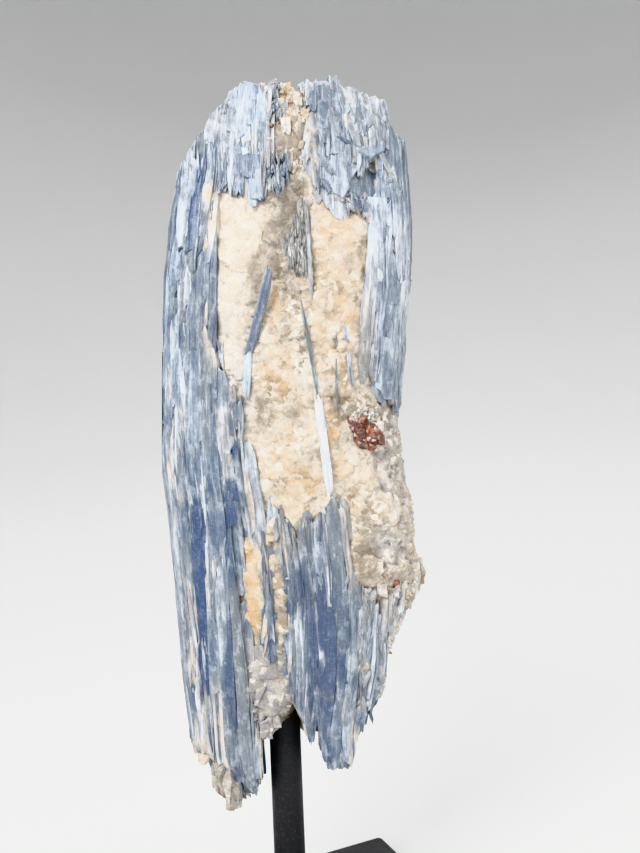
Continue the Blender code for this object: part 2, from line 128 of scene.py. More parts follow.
# Bumps and dips: (across, up, half width, half height, turn in degrees, rise).
BUMPS = [
    (-9, 178, 5, 19, 0, 0.7), (19, 172, 7.5, 21, 0, 0.7), (27.5, 110, 8, 13, -12, 2),
    (2, 143, 7, 13, 0, -0.6), (22, 128, 5, 10, 0, 0.5), (8.5, 214, 3.2, 9, 0, 0.35),
    (24, 136, 4.5, 4, 0, -0.8), (-1, 157, 5, 6, 0, 0.5), (11, 130, 5, 8, 0, 0.4),
    (-1, 142, 2.6, 3.6, 20, -0.7), (-6.6, 97, 2.6, 15, 3, 1.3), (-0.6, 97.3, 2.2, 20, 4, 0.9),
    (-5.6, 70.4, 6, 10, 0, 1), (2.5, 149.3, 3.8, 3.6, 0, 0.7), (3.6, 119.1, 6, 8, 0, 0.7),
    (34, 97, 3.5, 7, -20, 0.6), (31.5, 90, 2.4, 6, -20, 0.6),
]
# The slanted step that runs down from the top into the recess: its upper edge, then its right wall.
RECESS_EDGE = ((5.8, 203.5), (-7.2, 175.0))
RECESS_WALL = 11.2
RECESS_FOOT = (163.0, 180.0)
RECESS_SLOPE = 6.2
RECESS_DEPTH = 3.8
RECESS_STEP = 0.6
QUARTZ_BACK = 8.0  # about how far behind the rod's middle the quartz of the best face reaches
HOLLOW_DEPTH = 1.9
# Warm, clear, blue stain, roughness of the slanted step and of the hollow.
# The slanted step's grey-brown is partly the quartz's own tint and partly painted shade, as the step faces
# away from the light.
SLOPE_TINT_AND_SHADE, SLOPE_FADE = (0.2, 0.62, 0.08, 0.2), (172, 196)
HOLLOW_TINT = (0.1, 0.35, 0.95, 0.6)

# ---- the blades' colours -----------------------------------------------------------------
# Streaks of one tone, later ones over earlier: top across, top up, foot across, foot up, width,
# depth of blue, share of cream, share of grey.
STREAKS = [
    (31.5, 200, 31.2, 140, 10, 0.12, 0.03, 0.03), (-3, 228.8, -5, 214.6, 3.9, 0.12, 0, 0.05),
    (-6, 228.5, -6.6, 220.6, 1, 0.4, 0.3, 0.3), (19.2, 228.4, 19.7, 216.6, 3, 0.26, 0, 0.24),
    (0.4, 228.2, -0.5, 211, 2.6, 0.04, 0, 0), (15.2, 227.6, 14.7, 215.8, 4.9, 0.32, 0, 0.28),
    (-7.1, 225.5, -9, 212.8, 2.6, 0.3, 0.1, 0.25), (23, 225.3, 22.6, 216.5, 1.6, 0.05, 0.6, 0),
    (25.4, 224.2, 25.3, 214.4, 2.4, 0.2, 0.15, 0.1), (-10.6, 223.7, -12.4, 214.9, 3, 0.15, 0.1, 0.1),
    (29.8, 223.1, 29.4, 213.2, 3.9, 0.15, 0.1, 0.15), (-10.4, 214.8, -13.5, 171.6, 2.2, 0.42, 0, 0.15),
    (15.7, 214.8, 17.1, 200.9, 5.9, 0.2, 0, 0.16), (-5, 214.6, -5.8, 201.3, 4.5, 0.4, 0, 0.1),
    (20.5, 213.6, 20.2, 193.9, 3, 0.22, 0, 0.12), (34.3, 213, 34.9, 191.3, 3.5, 0.22, 0, 0.1),
    (-2, 211, -2.7, 198.6, 3.3, 0.3, 0, 0.05), (-15.6, 208.9, -18.5, 193.5, 3.9, 0.82, 0, 0),
    (-20.7, 205.4, -26, 171.1, 2.2, 0.3, 0, 0.1), (-20.3, 202.4, -23.5, 172, 1.4, 0.08, 0, 0),
    (-13.9, 202.2, -15, 187.4, 1.8, 0.05, 0.6, 0.1), (18.1, 200.9, 20.6, 189.9, 3.9, 0.12, 0, 0),
    (30.7, 197.4, 30.5, 185.6, 3.3, 0.04, 0, 0), (-9.7, 197.1, -11.4, 179.4, 0.8, 0.55, 0, 0),
    (-18.7, 193.5, -19.9, 187.6, 2.2, 0.5, 0, 0), (34.4, 191.4, 35, 168.7, 3, -0.06, 0, 0),
    (-16.9, 188.5, -18.1, 171.8, 2.4, 0.35, 0, 0.2), (29.3, 186.6, 28.6, 168.9, 2, 0.12, 0, 0.05),
    (26.2, 176.9, 25.5, 169.1, 1.4, 0.55, 0, 0.1), (-25.4, 173.2, -26.8, 135.2, 2.1, 0.28, 0, 0.08),
    (-23.3, 173.1, -24.3, 144.6, 1.7, 0.12, 0, 0.1), (-19.6, 172.9, -21, 154.9, 2.1, 0.28, 0, 0.2),
    (-16.7, 172.8, -17.1, 151.9, 1.7, 0.4, 0.1, 0.95), (-14.8, 172.7, -15.3, 155.6, 1, 0.1, 0.5, 0.1),
    (-12.7, 172.7, -13.7, 153.7, 2.1, 0.46, 0, 0.1), (25.3, 171.1, 24.3, 156.9, 1.7, 0.62, 0, 0.1),
    (27.9, 171, 27.2, 157.7, 1.5, 0.16, 0.1, 0.1), (31.7, 170.9, 31.5, 153.8, 2.3, 0.02, 0, 0.05),
    (-22.1, 168.3, -23.1, 133.1, 1.1, 0.4, 0, 0.05), (29.1, 165.3, 28.4, 139.6, 2.4, 0.3, 0, 0.05),
    (32.8, 161.3, 31.4, 139.5, 1.9, 0.16, 0, 0.05), (-18.9, 153.9, -20.1, 134.9, 3.8, 0.08, 0.05, 0),
    (-14.7, 151.8, -15.4, 121.4, 2.5, 0.52, 0, 0.05), (-23.5, 144.6, -23.5, 133.1, 1.9, 0.03, 0, 0),
    (-11.7, 144.1, -13.1, 121.3, 2.9, 0.1, 0.25, 0), (-10.3, 137.4, -11, 121.2, 1.3, 0.65, 0, 0.05),
    (-25.7, 137, -26.3, 127.5, 1.5, 0.05, 0.6, 0.1), (-18.2, 134.8, -19.3, 112, 3.8, 0.3, 0, 0.05),
    (-22.6, 133.1, -24.1, 106, 2.9, 0.36, 0, 0.15), (2.4, 126.4, 1.9, 111.2, 2.1, 0.4, 0, 0.5),
    (-10.5, 125, -10.8, 105.4, 3.8, 0.52, 0, 0.1), (-25.3, 123.7, -25.6, 112.3, 1.1, 0.12, 0.5, 0.1),
    (-19.8, 119.7, -19.9, 105.8, 2.6, 0.9, 0, 0), (-15.5, 119.5, -15.6, 105.6, 2.3, 0.46, 0, 0.1),
    (14.3, 119.4, 14.3, 104.4, 3.4, 0.45, 0, 0.6), (-7, 119.2, -6.9, 105.3, 1.9, 0.25, 0.25, 0.3),
    (9.2, 118.5, 8.6, 104.6, 3.2, 0.5, 0, 0.35), (17.6, 115.3, 17.6, 104.3, 2.9, 0.3, 0, 0.2),
    (-3.8, 115.2, -3.7, 105.1, 2.3, 0.42, 0, 0.2), (6.1, 112.9, 5.6, 106.3, 2.3, 1, 0, 0.9),
    (-24.5, 111.2, -24.4, 79.8, 2.1, 0.38, 0.1, 0.25), (-22.8, 111.1, -22.8, 82.6, 1.1, 0.15, 0.5, 0.2),
    (-19.2, 110.9, -20.6, 74.9, 2.8, 1.12, 0, 0), (-16, 110.8, -17.1, 70.9, 2.5, 0.48, 0, 0.18),
    (-13.6, 110.7, -15.2, 79.4, 1.9, 0.28, 0.1, 0.2), (-8.9, 110.5, -9.4, 91.5, 1.5, 0.35, 0.1, 0.2),
    (21.7, 110.4, 23.3, 104.1, 3.8, 0.15, 0.2, 0.2), (-5.4, 110.4, -6.4, 85.7, 4.6, 0, 1.2, 0),
    (0.6, 110.2, -0.1, 80.7, 3.8, 0, 0.9, 0.2), (3.9, 110, 3.7, 91, 2.1, 0.58, 0, 0.3),
    (-11.5, 104.9, -13.3, 70.8, 2.3, 0.7, 0, 0.2), (-2.2, 104.6, -3.2, 79.9, 1.2, 0.55, 0, 0.3),
    (5.9, 104.2, 9.5, 69.8, 2.6, 0.95, 0, 0.25), (15.1, 103.9, 14.8, 73.4, 2.9, 0.66, 0, 0.25),
    (18.9, 103.7, 18.2, 61.9, 2.5, 0.36, 0, 0.12), (10.2, 100.3, 12.9, 62.1, 2.6, 1.1, 0, 0.18),
    (28.6, 96.7, 26.4, 77.7, 2.5, 0.1, 0.35, 0.25), (25.2, 94.9, 24.2, 69.3, 3.8, 0.2, 0.05, 0.1),
    (21.4, 94.1, 21.3, 67.5, 2.9, 0.18, 0.1, 0.1), (6.8, 87.1, 7.5, 56.6, 1.7, 0.45, 0, 0.15),
    (-6.4, 85.7, -6.6, 61, 5.9, 0, 0.7, 0.3), (1.3, 80.6, 0.8, 67.3, 2.5, 0.1, 0.55, 0.35),
    (-22.5, 79.7, -21.9, 57.8, 2.5, 0.05, 0.7, 0.2), (-15.8, 79.4, -15.9, 54.7, 1.1, 0.05, 0.8, 0.1),
    (20.3, 78, 20.1, 66.6, 2.5, 0.1, 0.7, 0.3), (15.5, 77.2, 15, 52.5, 1.3, 0.88, 0, 0.1),
    (-21.1, 74.9, -20.8, 66.3, 3, 0.62, 0, 0.05), (-19.9, 72.9, -20.1, 54.9, 2.3, 0.1, 0.55, 0.35),
    (-12.9, 70.7, -12.7, 49.8, 3.8, 0.6, 0.05, 0.28), (-17.7, 69, -17.8, 54.8, 1.5, 0.55, 0, 0.1),
    (-8.7, 68.7, -8.6, 45.8, 2.3, 0.38, 0.1, 0.35), (11.8, 67.9, 11.6, 50.7, 4.8, 0.36, 0, 0.1),
]
# Single blades of the best face: top across, top up, foot across, foot up, width, proud of the
# face, then the tone as above.
FACE_BLADES = [
    (-3.2, 228.5, -5, 213, 3.8, 0.9, 0.12, 0, 0.05), (0.5, 226, -0.4, 210.5, 2.4, 1.1, 0.03, 0, 0),
    (-6, 213, -6.4, 199, 3.2, 0.7, 0.42, 0, 0.1), (-1.5, 209, -1.8, 197, 3, 0.8, 0.28, 0, 0.05),
    (-16.4, 207.5, -19, 184.5, 3.2, 0.85, 0.62, 0, 0), (-17.9, 178, -17.6, 150, 2, 0.65, 0.42, 0.14, 0.8),
    (-13.1, 198.5, -15.4, 141.8, 2, 0.5, 0.45, 0, 0.15),
    (-24.3, 183.5, -27.3, 121.6, 3.4, 0.4, 0.16, 0, 0.05),
    (-21.3, 173, -21.6, 152.9, 3, 0.6, 0.4, 0, 0.1), (-19.9, 152.3, -20.8, 116.2, 4.2, 0.7, 0.1, 0.05, 0),
    (-19.3, 119, -19.7, 71, 3, 0.8, 1.02, 0, 0), (-16.8, 112, -17.4, 80, 1.7, 0.55, 0.3, 0, 0.1),
    (-15.2, 150, -15, 116, 2.4, 0.6, 0.52, 0, 0.05), (-14.6, 118, -14.4, 84, 2.4, 0.4, 0.2, 0, 0.05),
    (-12.8, 110.5, -12.6, 62.5, 2.3, 0.7, 0.78, 0, 0.12),
    (-16.4, 82.4, -15, 54, 1.6, 0.4, 0.05, 0.8, 0.1), (-3.5, 113.9, -2.4, 77.3, 1.9, 0.5, 0.66, 0, 0.25),
    (3.4, 105.5, 7.6, 71.2, 2.4, 0.6, 0.72, 0, 0.28), (6.6, 99.4, 10.3, 64.5, 2.6, 0.7, 0.86, 0, 0.18),
    (1.4, 87, 6.9, 56.4, 2.4, 0.7, 0.36, 0, 0.1), (8.4, 84, 9.6, 52, 3.4, 0.7, 0.4, 0, 0.1),
    (12.4, 84, 13.8, 51, 2.6, 0.5, 0.26, 0, 0.1), (14.6, 98, 17, 53, 2.4, 0.5, 0.26, 0, 0.1),
    (7.4, 116, 7.9, 96.4, 2.6, 0.4, 0.45, 0, 0.65), (3.4, 118, 3.8, 100, 2.6, 0.2, 0.48, 0, 0.45),
    (29, 199.4, 27.9, 152.1, 2.4, 0.5, 0.16, 0, 0), (31.6, 190, 30.6, 148, 2.2, 0.4, 0.26, 0, 0.1),
    (28.2, 165.3, 28.9, 143.1, 1.6, 0.5, 0.5, 0, 0.1), (16.5, 228, 16.6, 212, 3.6, 0.7, 0.4, 0, 0.3),
    (19.6, 225, 19.4, 210, 2.6, 0.9, 0.3, 0, 0.3), (28, 193, 27.6, 178, 2.6, 0.9, 0.03, 0, 0),
    (1.2, 181.4, -5.3, 157.7, 2.1, 0.3, 0.56, 0, 0.24),
    (-4.9, 162, -6.8, 146.2, 1.8, 0.2, 0.1, 0.02, 0.05),
    (8.6, 172.4, 11.9, 145.9, 0.7, 0.4, 0.3, 0, 0.75), (12, 148.3, 14.2, 119.6, 2, 0.6, -0.4, 0.12, 0),
    (14.2, 119.8, 14.6, 98.6, 2.6, 0.5, 0.42, 0, 0.6), (19.4, 166.8, 20.9, 148.8, 1, 0.3, 0.24, 0.05, 0),
    (21.7, 66.8, 22.8, 61.3, 0.6, 0.3, 0.4, 0, 0.2), (26.1, 178.6, 24.6, 156.3, 1.6, 0.4, 0.5, 0, 0.2),
    (17.2, 164.2, 16.8, 140.5, 0.4, 0.2, 0.3, 0.2, 0.8),
    (-7.6, 148.4, -8.6, 130.4, 0.9, 0.2, 0.5, 0, 0.1), (11, 197, 11.3, 172, 0.9, 0.5, 0.1, 0.3, 0.4),
]
# Fields of short broken plates: corners of the field, how many, lengths, widths, lean in degrees,
# proud, then the tone as above.
SHARDS = [
    ([(12, 226), (21, 226), (24, 212), (22, 200), (13, 198)],
     16, (4, 10), (0.8, 2.4), (-34, 8), (0.5, 1.2), (0.3, 0.02, 0.25)),
    ([(22, 222), (31, 220), (34, 212), (33, 196), (24, 208)],
     34, (3, 9), (1, 3.2), (-24, 16), (0.4, 1.2), (0.14, 0.12, 0.16)),
    ([(-11, 222), (-3, 226), (0, 224), (-1, 198), (-9, 198)],
     16, (4, 10), (0.8, 2.4), (-6, 6), (0.5, 1.3), (0.22, 0.02, 0.08)),
    ([(9.6, 199), (11.6, 199), (12.3, 182), (9.5, 178), (6, 181), (4.6, 185.5), (6.6, 191.5)],
     170, (1.5, 6), (0.3, 0.8), (-12, 10), (-4.5, -3.6), (0.12, 0.42, 0.36)),
    ([(0.6, 210), (5.5, 209.6), (7.4, 208.5), (7.2, 205.5), (5.6, 201.6), (3, 199), (0.6, 201.8)],
     44, (2, 6), (0.4, 1), (-14, 10), (0.1, 0.7), (0.26, 0.02, 0.34)),
    ([(1.2, 228), (4.8, 227), (5.8, 221), (4.8, 218), (1.4, 219)],
     26, (2, 5), (0.5, 1.2), (-20, 20), (0.3, 0.9), (0.14, 0.04, 0.62)),
    ([(14, 100), (22, 95), (30, 88), (25, 73), (16, 56), (13, 80)],
     110, (3, 11), (0.5, 1.8), (-4, 26), (0.2, 0.8), (0.28, 0.14, 0.3)),
    ([(-27, 170), (-17, 170), (-18, 60), (-24, 60)],
     60, (5, 22), (0.4, 1.5), (-4, 4), (0.5, 1), (0.12, 0.16, 0.12)),
]
# Flat broken faces of kyanite: corners, proud, lean across and up in degrees, then the tone.
KYANITE_PLATES = [
    ([(21.2, 200.6), (23.6, 204.8), (27, 206.4), (31, 203.6), (31.6, 198.9), (29.6, 195.2), (26.8, 197.2),
     (23, 197.4)],
     -1.3, -8, -5, 0.3, 0, 0.34),
    ([(13.5, 211.4), (16.7, 212.5), (19.8, 211.9), (21.8, 205.4), (22.4, 200.4), (20.5, 197.7),
     (17.2, 199.9), (14.5, 203.6)],
     0.5, 6, -4, 0.1, 0, 0.2),
    ([(18.5, 226.1), (21.6, 225.3), (21.4, 214.9), (19.1, 215.3), (17.8, 220)],
     0.5, -6, 2, 0.3, 0, 0.26),
    ([(14.2, 227.9), (17.8, 228.2), (17.6, 215.9), (14.2, 215.5)],
     0.3, 4, -2, 0.18, 0, 0.18),
    ([(21.6, 213.4), (32.5, 213.5), (31.8, 209.6), (28.1, 207.9), (23.1, 211)],
     0.6, 2, -18, 0.18, 0, 0.15),
    ([(19.3, 213.7), (20.4, 213.9), (28.4, 209), (27.3, 208)],
     0.8, 4, 8, 0.5, 0, 0.2),
    ([(19.8, 211.9), (23.1, 210.7), (27.3, 207.7), (24.1, 204.2), (22.2, 201.2), (20.8, 206.2)],
     0.2, -14, -8, 0.12, 0.02, 0.15),
    ([(30.7, 208.9), (32.5, 209.1), (32.4, 197.7), (30.5, 197)],
     0.5, -3, 0, 0.04, 0, 0),
    ([(26.9, 197.7), (31.6, 197.5), (31.6, 191), (27.7, 191.2)],
     0.4, 2, 3, -0.06, 0, 0),
    ([(24.6, 198.3), (26.7, 197.9), (27.3, 193), (25.7, 192.3)],
     0.2, -6, 0, 0.3, 0, 0.3),
    ([(-5.2, 215.2), (-2.8, 215.9), (-0.9, 211.7), (-3.8, 211.3), (-5.5, 212.1)],
     0.35, -8, 6, 0.52, 0, 0),
    ([(-5.3, 212), (-3.5, 212.2), (-3.2, 210.3), (-5, 209.8)],
     0.6, 0, -12, 0, 0.05, 0),
    ([(-6.9, 210.1), (-0.7, 209.9), (-0.4, 203.9), (-3.8, 203.8), (-6.6, 205)],
     0.7, 3, 4, 0.42, 0, 0.05),
    ([(-3.8, 203.8), (-0.2, 203.9), (0.1, 198.5), (-3.3, 198.4)],
     0.8, 0, -3, 0.2, 0, 0),
    ([(-4.1, 229.1), (1.8, 227.3), (1.6, 221.7), (0.4, 217.6), (-3.5, 217.7), (-4.3, 224)],
     0.5, -2, -3, 0.14, 0, 0.02),
    ([(-8.1, 226.2), (-4.6, 228.1), (-4.4, 221.4), (-5.4, 215.7), (-9, 216.4)],
     0.3, -8, -4, 0.05, 0.14, 0.2),
]

# ---- shape helpers -----------------------------------------------------------------------
def read_table(table, at):
    """The values of a table of rows (height, value, ...) at the heights, eased between its rows."""
    rows = np.array(table, float)
    at = np.clip(at, rows[0, 0], rows[-1, 0])
    row = np.clip(np.searchsorted(rows[:, 0], at, side="right") - 1, 0, len(rows) - 2)
    share = (at - rows[row, 0]) / (rows[row + 1, 0] - rows[row, 0])
    share = (share * share * (3 - 2 * share))[..., None]
    values = rows[row, 1:] + (rows[row + 1, 1:] - rows[row, 1:]) * share
    return [values[..., i] for i in range(values.shape[-1])]


def section(turn, height, share=1.0):
    """Points of the flow's section at heights; turn runs round the section from +X."""
    left, right = read_table(FLOW, height)
    half, middle = read_table(DEPTH, height)
    c, s = np.cos(turn), np.sin(turn)
    radius = (abs(c) ** SECTION_POWER + abs(s) ** SECTION_POWER) ** (-1 / SECTION_POWER) * share
    across = (left + right) / 2 + (right - left) / 2 * c * radius
    return np.stack([across, middle + half * s * radius, height + 0.0 * across], axis=-1)


def outward(turn, height):
    """Level unit vectors that point out of the flow's section."""
    step = 0.02
    along = section(turn + step, height) - section(turn - step, height)
    out = np.stack([along[..., 1], -along[..., 0], 0 * along[..., 0]], axis=-1)
    return out / np.linalg.norm(out, axis=-1, keepdims=True)


def smooth(low, high, x):
    """0 below low, 1 above high, and an eased step between."""
    t = np.clip((x - low) / (high - low), 0, 1)
    return t * t * (3 - 2 * t)


def as_seen(points):
    """(across, up) of points in front of the rod, as the camera sees them in the rod's plane."""
    camera = np.array(CAMERA_PLACE)
    scale = -camera[1] / (np.minimum(points[..., 1], 0) - camera[1])
    return (
        camera[0] + (points[..., 0] - camera[0]) * scale,
        camera[2] + (points[..., 2] - camera[2]) * scale,
    )


def face_depth(x, z):
    """Y of the flow's surface on the best face."""
    left, right = read_table(FLOW, z)
    half, middle = read_table(DEPTH, z)
    share = np.minimum(abs(2 * (x - left) / (right - left) - 1), 0.985)
    return middle - half * (1 - share**SECTION_POWER) ** (1 / SECTION_POWER)


def on_face(across, up, proud=0.0):
    """Points on the best face that the camera sees at (across, up)."""
    camera = np.array(CAMERA_PLACE)
    y = np.zeros(np.broadcast(across, up).shape)
    for _ in range(6):
        scale = 1 - y / camera[1]
        x = camera[0] + (across - camera[0]) * scale
        z = camera[2] + (up - camera[2]) * scale
        y = face_depth(x, z) - proud
    return np.stack([x, y, z], axis=-1)


def inside(polygon, x, z):
    """True where the points lie inside the polygon."""
    found = np.zeros(np.shape(x), bool)
    for (x1, z1), (x2, z2) in zip(polygon, polygon[1:] + polygon[:1]):
        if z1 != z2:
            found ^= ((z1 > z) != (z2 > z)) & (x < x1 + (z - z1) * (x2 - x1) / (z2 - z1))
    return found


def edge_distance(polygon, x, z):
    """How far the points lie from the polygon's edges."""
    nearest = np.full(np.shape(x), np.inf)
    for (x1, z1), (x2, z2) in zip(polygon, polygon[1:] + polygon[:1]):
        dx, dz = x2 - x1, z2 - z1
        t = np.clip(((x - x1) * dx + (z - z1) * dz) / (dx * dx + dz * dz), 0, 1)
        nearest = np.minimum(nearest, np.hypot(x - x1 - t * dx, z - z1 - t * dz))
    return nearest


def slope_place(across, up):
    """How far places lie to the right of the recess's slanted upper edge."""
    (top_x, top_z), (foot_x, foot_z) = RECESS_EDGE
    edge = foot_x + (top_x - foot_x) * np.clip((up - foot_z) / (top_z - foot_z), -0.35, 1)
    return across - edge + 0.35 * np.sin(up * 0.8) + 0.15 * np.sin(up * 2.3)


def on_slope(across, up):
    """1 on the slanted step that runs down into the recess, 0 off it."""
    right = slope_place(across, up)
    wide = smooth(0.0, 0.12, right) * smooth(RECESS_SLOPE + 0.8, RECESS_SLOPE - 0.6, right)
    top = RECESS_EDGE[0][1]
    return wide * smooth(RECESS_FOOT[0] - 2, RECESS_FOOT[0] + 5, up) * smooth(top + 2, top, up)


def blended(values, other, share):
    """Rows of values with a share of another row mixed in."""
    return values + share[:, None] * (np.array(other) - values)


def relief(across, up):
    """How far the quartz of the best face stands out of its section, before its grain."""
    rise = np.zeros(np.shape(across))
    for x, z, half_width, half_height, turn, height in BUMPS:
        c, s = math.cos(math.radians(turn)), math.sin(math.radians(turn))
        a = ((across - x) * c + (up - z) * s) / half_width
        b = ((up - z) * c - (across - x) * s) / half_height
        rise = rise + height * (1 - smooth(0.55, 1.25, np.hypot(a, b)))
    right = slope_place(across, up)
    slant = (RECESS_DEPTH - RECESS_STEP) * np.clip(right / RECESS_SLOPE, 0, 1)
    fall = RECESS_STEP * smooth(-0.1, 0.25, right) + slant
    wall = smooth(RECESS_WALL + 0.7, RECESS_WALL - 0.3, across)
    top = RECESS_EDGE[0][1]
    rise = rise - fall * wall * smooth(*RECESS_FOOT, up) * smooth(top + 3, top - 5, up)
    return np.where(inside(HOLLOW, across, up), -HOLLOW_DEPTH, rise)


def mesh_from(bm, name):
    """The mesh of a bmesh, which is freed."""
    mesh = bpy.data.meshes.new(name)
    bm.to_mesh(mesh)
    bm.free()
    return mesh


def bevelled(bm, edges, width, segments, profile=0.5):
    """Rounds edges; a profile of 0.5 is a quarter of a circle."""
    bmesh.ops.bevel(
        bm, geom=edges, offset=width, segments=segments, profile=profile, affect="EDGES", material=-1,
    )


def crease(mesh, degrees):
    """Smooth shading, with an edge where the surface turns by more than the degrees."""
    mesh.shade_smooth()
    mesh.set_sharp_from_angle(angle=math.radians(degrees))


def mesh_object(name, mesh, material):
    """Links a mesh to the scene as an object of one name and material."""
    mesh.name = name
    obj = bpy.data.objects.new(name, mesh)
    bpy.context.scene.collection.objects.link(obj)
    mesh.materials.clear()
    mesh.materials.append(material)
    return obj


def place_cluster_piece(obj):
    """Sets a piece on the frame's one body in place of the specimen's solid."""
    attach(obj, "root")
    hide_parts("kyanite_cluster")


def set_points(mesh, points):
    """Moves a mesh's vertices to points in millimetres."""
    mesh.vertices.foreach_set("co", (points * MM).astype(np.float32).ravel())
    mesh.update()


def get_points(mesh):
    """A mesh's vertices, in the mesh's own unit."""
    points = np.empty(len(mesh.vertices) * 3, np.float32)
    mesh.vertices.foreach_get("co", points)
    return points.reshape(-1, 3).astype(float)


def paint(mesh, name, values):
    """Stores four values for each vertex under a name that the material reads."""
    layer = mesh.attributes.new(name, "FLOAT_COLOR", "POINT")
    layer.data.foreach_set("color", values.astype(np.float32).ravel())


# ---- material helpers --------------------------------------------------------------------
class Shading:
    """A new material's nodes. Each method returns the socket that carries what it makes."""

    def __init__(self, name):
        self.material = bpy.data.materials.new(name)
        self.material.use_nodes = True
        self.tree = self.material.node_tree
        self.shader = self.tree.nodes["Principled BSDF"]

    def put(self, socket, value):
        """Links an input to a socket, or sets it to a plain value."""
        if isinstance(value, bpy.types.NodeSocket):
            self.tree.links.new(value, socket)
        elif socket.type == "RGBA":
            socket.default_value = (*value, 1.0)
        else:
            socket.default_value = value

    def add(self, kind, inputs=None, **settings):
        """Adds a node; returns all its outputs."""
        made = self.tree.nodes.new("ShaderNode" + kind)
        for name, value in settings.items():
            setattr(made, name, value)
        for name, value in (inputs or {}).items():
            self.put(made.inputs[name], value)
        return made.outputs

    def maths(self, operation, *values):
        """The result of one step of arithmetic."""
        return self.add("Math", dict(enumerate(values)), operation=operation)[0]

    def times(self, first, second):
        """A product."""
        return self.maths("MULTIPLY", first, second)

    def total(self, first, *others):
        """A sum."""
        for other in others:
            first = self.maths("ADD", first, other)
        return first

    def vector_maths(self, operation, first, second):
        """The result of one step of arithmetic on vectors."""
        return self.add("VectorMath", {0: first, 1: second}, operation=operation)[0]

    def remapped(self, value, from_low, from_high, to_low, to_high):
        """A value eased from one range into another and kept inside it."""
        inputs = {
            "Value": value, "From Min": from_low, "From Max": from_high, "To Min": to_low, "To Max": to_high,
        }
        return self.add("MapRange", inputs, interpolation_type="SMOOTHSTEP")["Result"]

    def mixed(self, share, first, second, blend="MIX"):
        """A colour between two colours."""
        return self.add("Mix", {0: share, 6: first, 7: second}, data_type="RGBA", blend_type=blend)[2]

    def layered(self, colour, *layers):
        """A colour with others laid over it, each (share, colour)."""
        for share, other in layers:
            colour = self.mixed(share, colour, other)
        return colour

    def ramp(self, share, *stops):
        """A colour ramp through (place, colour) stops."""
        made = self.add("ValToRGB", {"Fac": share})["Color"]
        elements = made.node.color_ramp.elements
        while len(elements) < len(stops):
            elements.new(1.0)
        for element, (place, colour) in zip(elements, stops):
            element.position = place
            element.color = (*colour, 1.0)
        return made

    def place(self):
        """The place on the object, in metres."""
        return self.add("TexCoord")["Object"]

    def parts(self, colour):
        """The three parts of a colour."""
        return tuple(self.add("SeparateColor", {"Color": colour}))

    def stored(self, name):
        """The four values that the mesh stores for each vertex under a name."""
        stored = self.add("Attribute", attribute_name=name, attribute_type="GEOMETRY")
        return (*self.parts(stored["Color"]), stored["Alpha"])

    def noise(self, vector, scale, detail, roughness=0.5):
        """Noise of a scale."""
        return self.add(
            "TexNoise", {"Vector": vector, "Scale": scale, "Detail": detail, "Roughness": roughness},
        )["Fac"]

    def stretched_noise(self, vector, scales, offset, detail, roughness):
        """Noise stretched by the three scales and moved along by an offset."""
        moved = self.vector_maths("ADD", self.vector_maths("MULTIPLY", vector, scales), offset)
        return self.noise(moved, 1.0, detail, roughness)

    def bump(self, height, strength, distance):
        """A normal bent by a height."""
        return self.add("Bump", {"Height": height, "Strength": strength, "Distance": distance})[0]

    def finish(self, inputs):
        """Puts the values on the shader's inputs; returns the material."""
        for name, value in inputs.items():
            self.put(self.shader.inputs[name], value)
        return self.material


# ---- properties --------------------------------------------------------------------------
def colour_property(name, description, default):
    """A colour that the panel shows."""
    return FloatVectorProperty(
        name=name, description=description, default=default, subtype="COLOR", size=3, min=0.0, max=1.0,
    )


def length_property(name, description, default):
    """A length that the panel shows."""
    return FloatProperty(name=name, description=description, default=default, unit="LENGTH", precision=4)


class KyaniteProperties(bpy.types.PropertyGroup):
    """Sizes and colours of the kyanite blades."""

    blade_width: length_property("Blade Width", "Usual width of one blade", 0.0026)
    longest: length_property("Longest Blade", "Length past which a blade is broken in two", 0.058)
    patches: IntProperty(name="Patches", description="Broken blades proud of the rest", default=560, min=1)
    slivers: IntProperty(name="Slivers", description="Thin splinters on the blades", default=900, min=1)
    inner: IntProperty(name="Inner Blades", description="Blades in the top and the feet", default=620, min=1)
    white_blue: colour_property("White Blue", "Palest, pearly blade", (0.62, 0.68, 0.75))
    pale_blue: colour_property("Pale Blue", "Steel blue of most blades", (0.255, 0.310, 0.390))
    mid_blue: colour_property("Middle Blue", "Stronger blue", (0.083, 0.130, 0.202))
    deep_blue: colour_property("Deep Blue", "Heart of the deepest blades", (0.020, 0.058, 0.165))
    cream: colour_property("Cream", "Blades stained with quartz", (0.74, 0.60, 0.43))
    grey: colour_property("Grey", "Dull grey blades", (0.16, 0.18, 0.19))
    # Also the colour of the painted sheen laid over the palest fibres.
    pearl_and_painted_sheen: colour_property("Pearl", "Sheen of the palest fibres", (0.77, 0.79, 0.84))
    frost: colour_property("Frost", "Broken and bruised places", (0.56, 0.61, 0.69))
    seed: IntProperty(name="Seed", description="Starts the random draws", default=7)


class QuartzProperties(bpy.types.PropertyGroup):
    """Sizes and colours of the quartz and the garnet in it."""

    columns: IntProperty(name="Columns", description="Faces round the quartz", default=210, min=40)
    rings: IntProperty(name="Rings", description="Faces up the quartz", default=380, min=40)
    grain: length_property("Grain", "Usual width of one grain of the quartz", 0.0021)
    white: colour_property("White", "Milky quartz", (0.82, 0.77, 0.70))
    warm: colour_property("Warm", "Iron-stained quartz", (0.66, 0.46, 0.26))
    clear: colour_property("Clear", "Darker, clearer quartz", (0.29, 0.24, 0.18))
    stain: colour_property("Blue Stain", "Kyanite dust in the quartz", (0.30, 0.36, 0.47))
    garnet: colour_property("Garnet", "Red-brown garnet", (0.11, 0.034, 0.022))
    seed: IntProperty(name="Seed", description="Starts the random draws", default=11)


class StandProperties(bpy.types.PropertyGroup):
    """Finish of the rod and the plate."""

    edge: length_property("Edge", "Rounding of the plate's edges", 0.0006)
    black: colour_property("Black", "Blackened steel", (0.031, 0.031, 0.033))
    worn: colour_property("Worn", "Worn and dusty specks", (0.10, 0.10, 0.105))


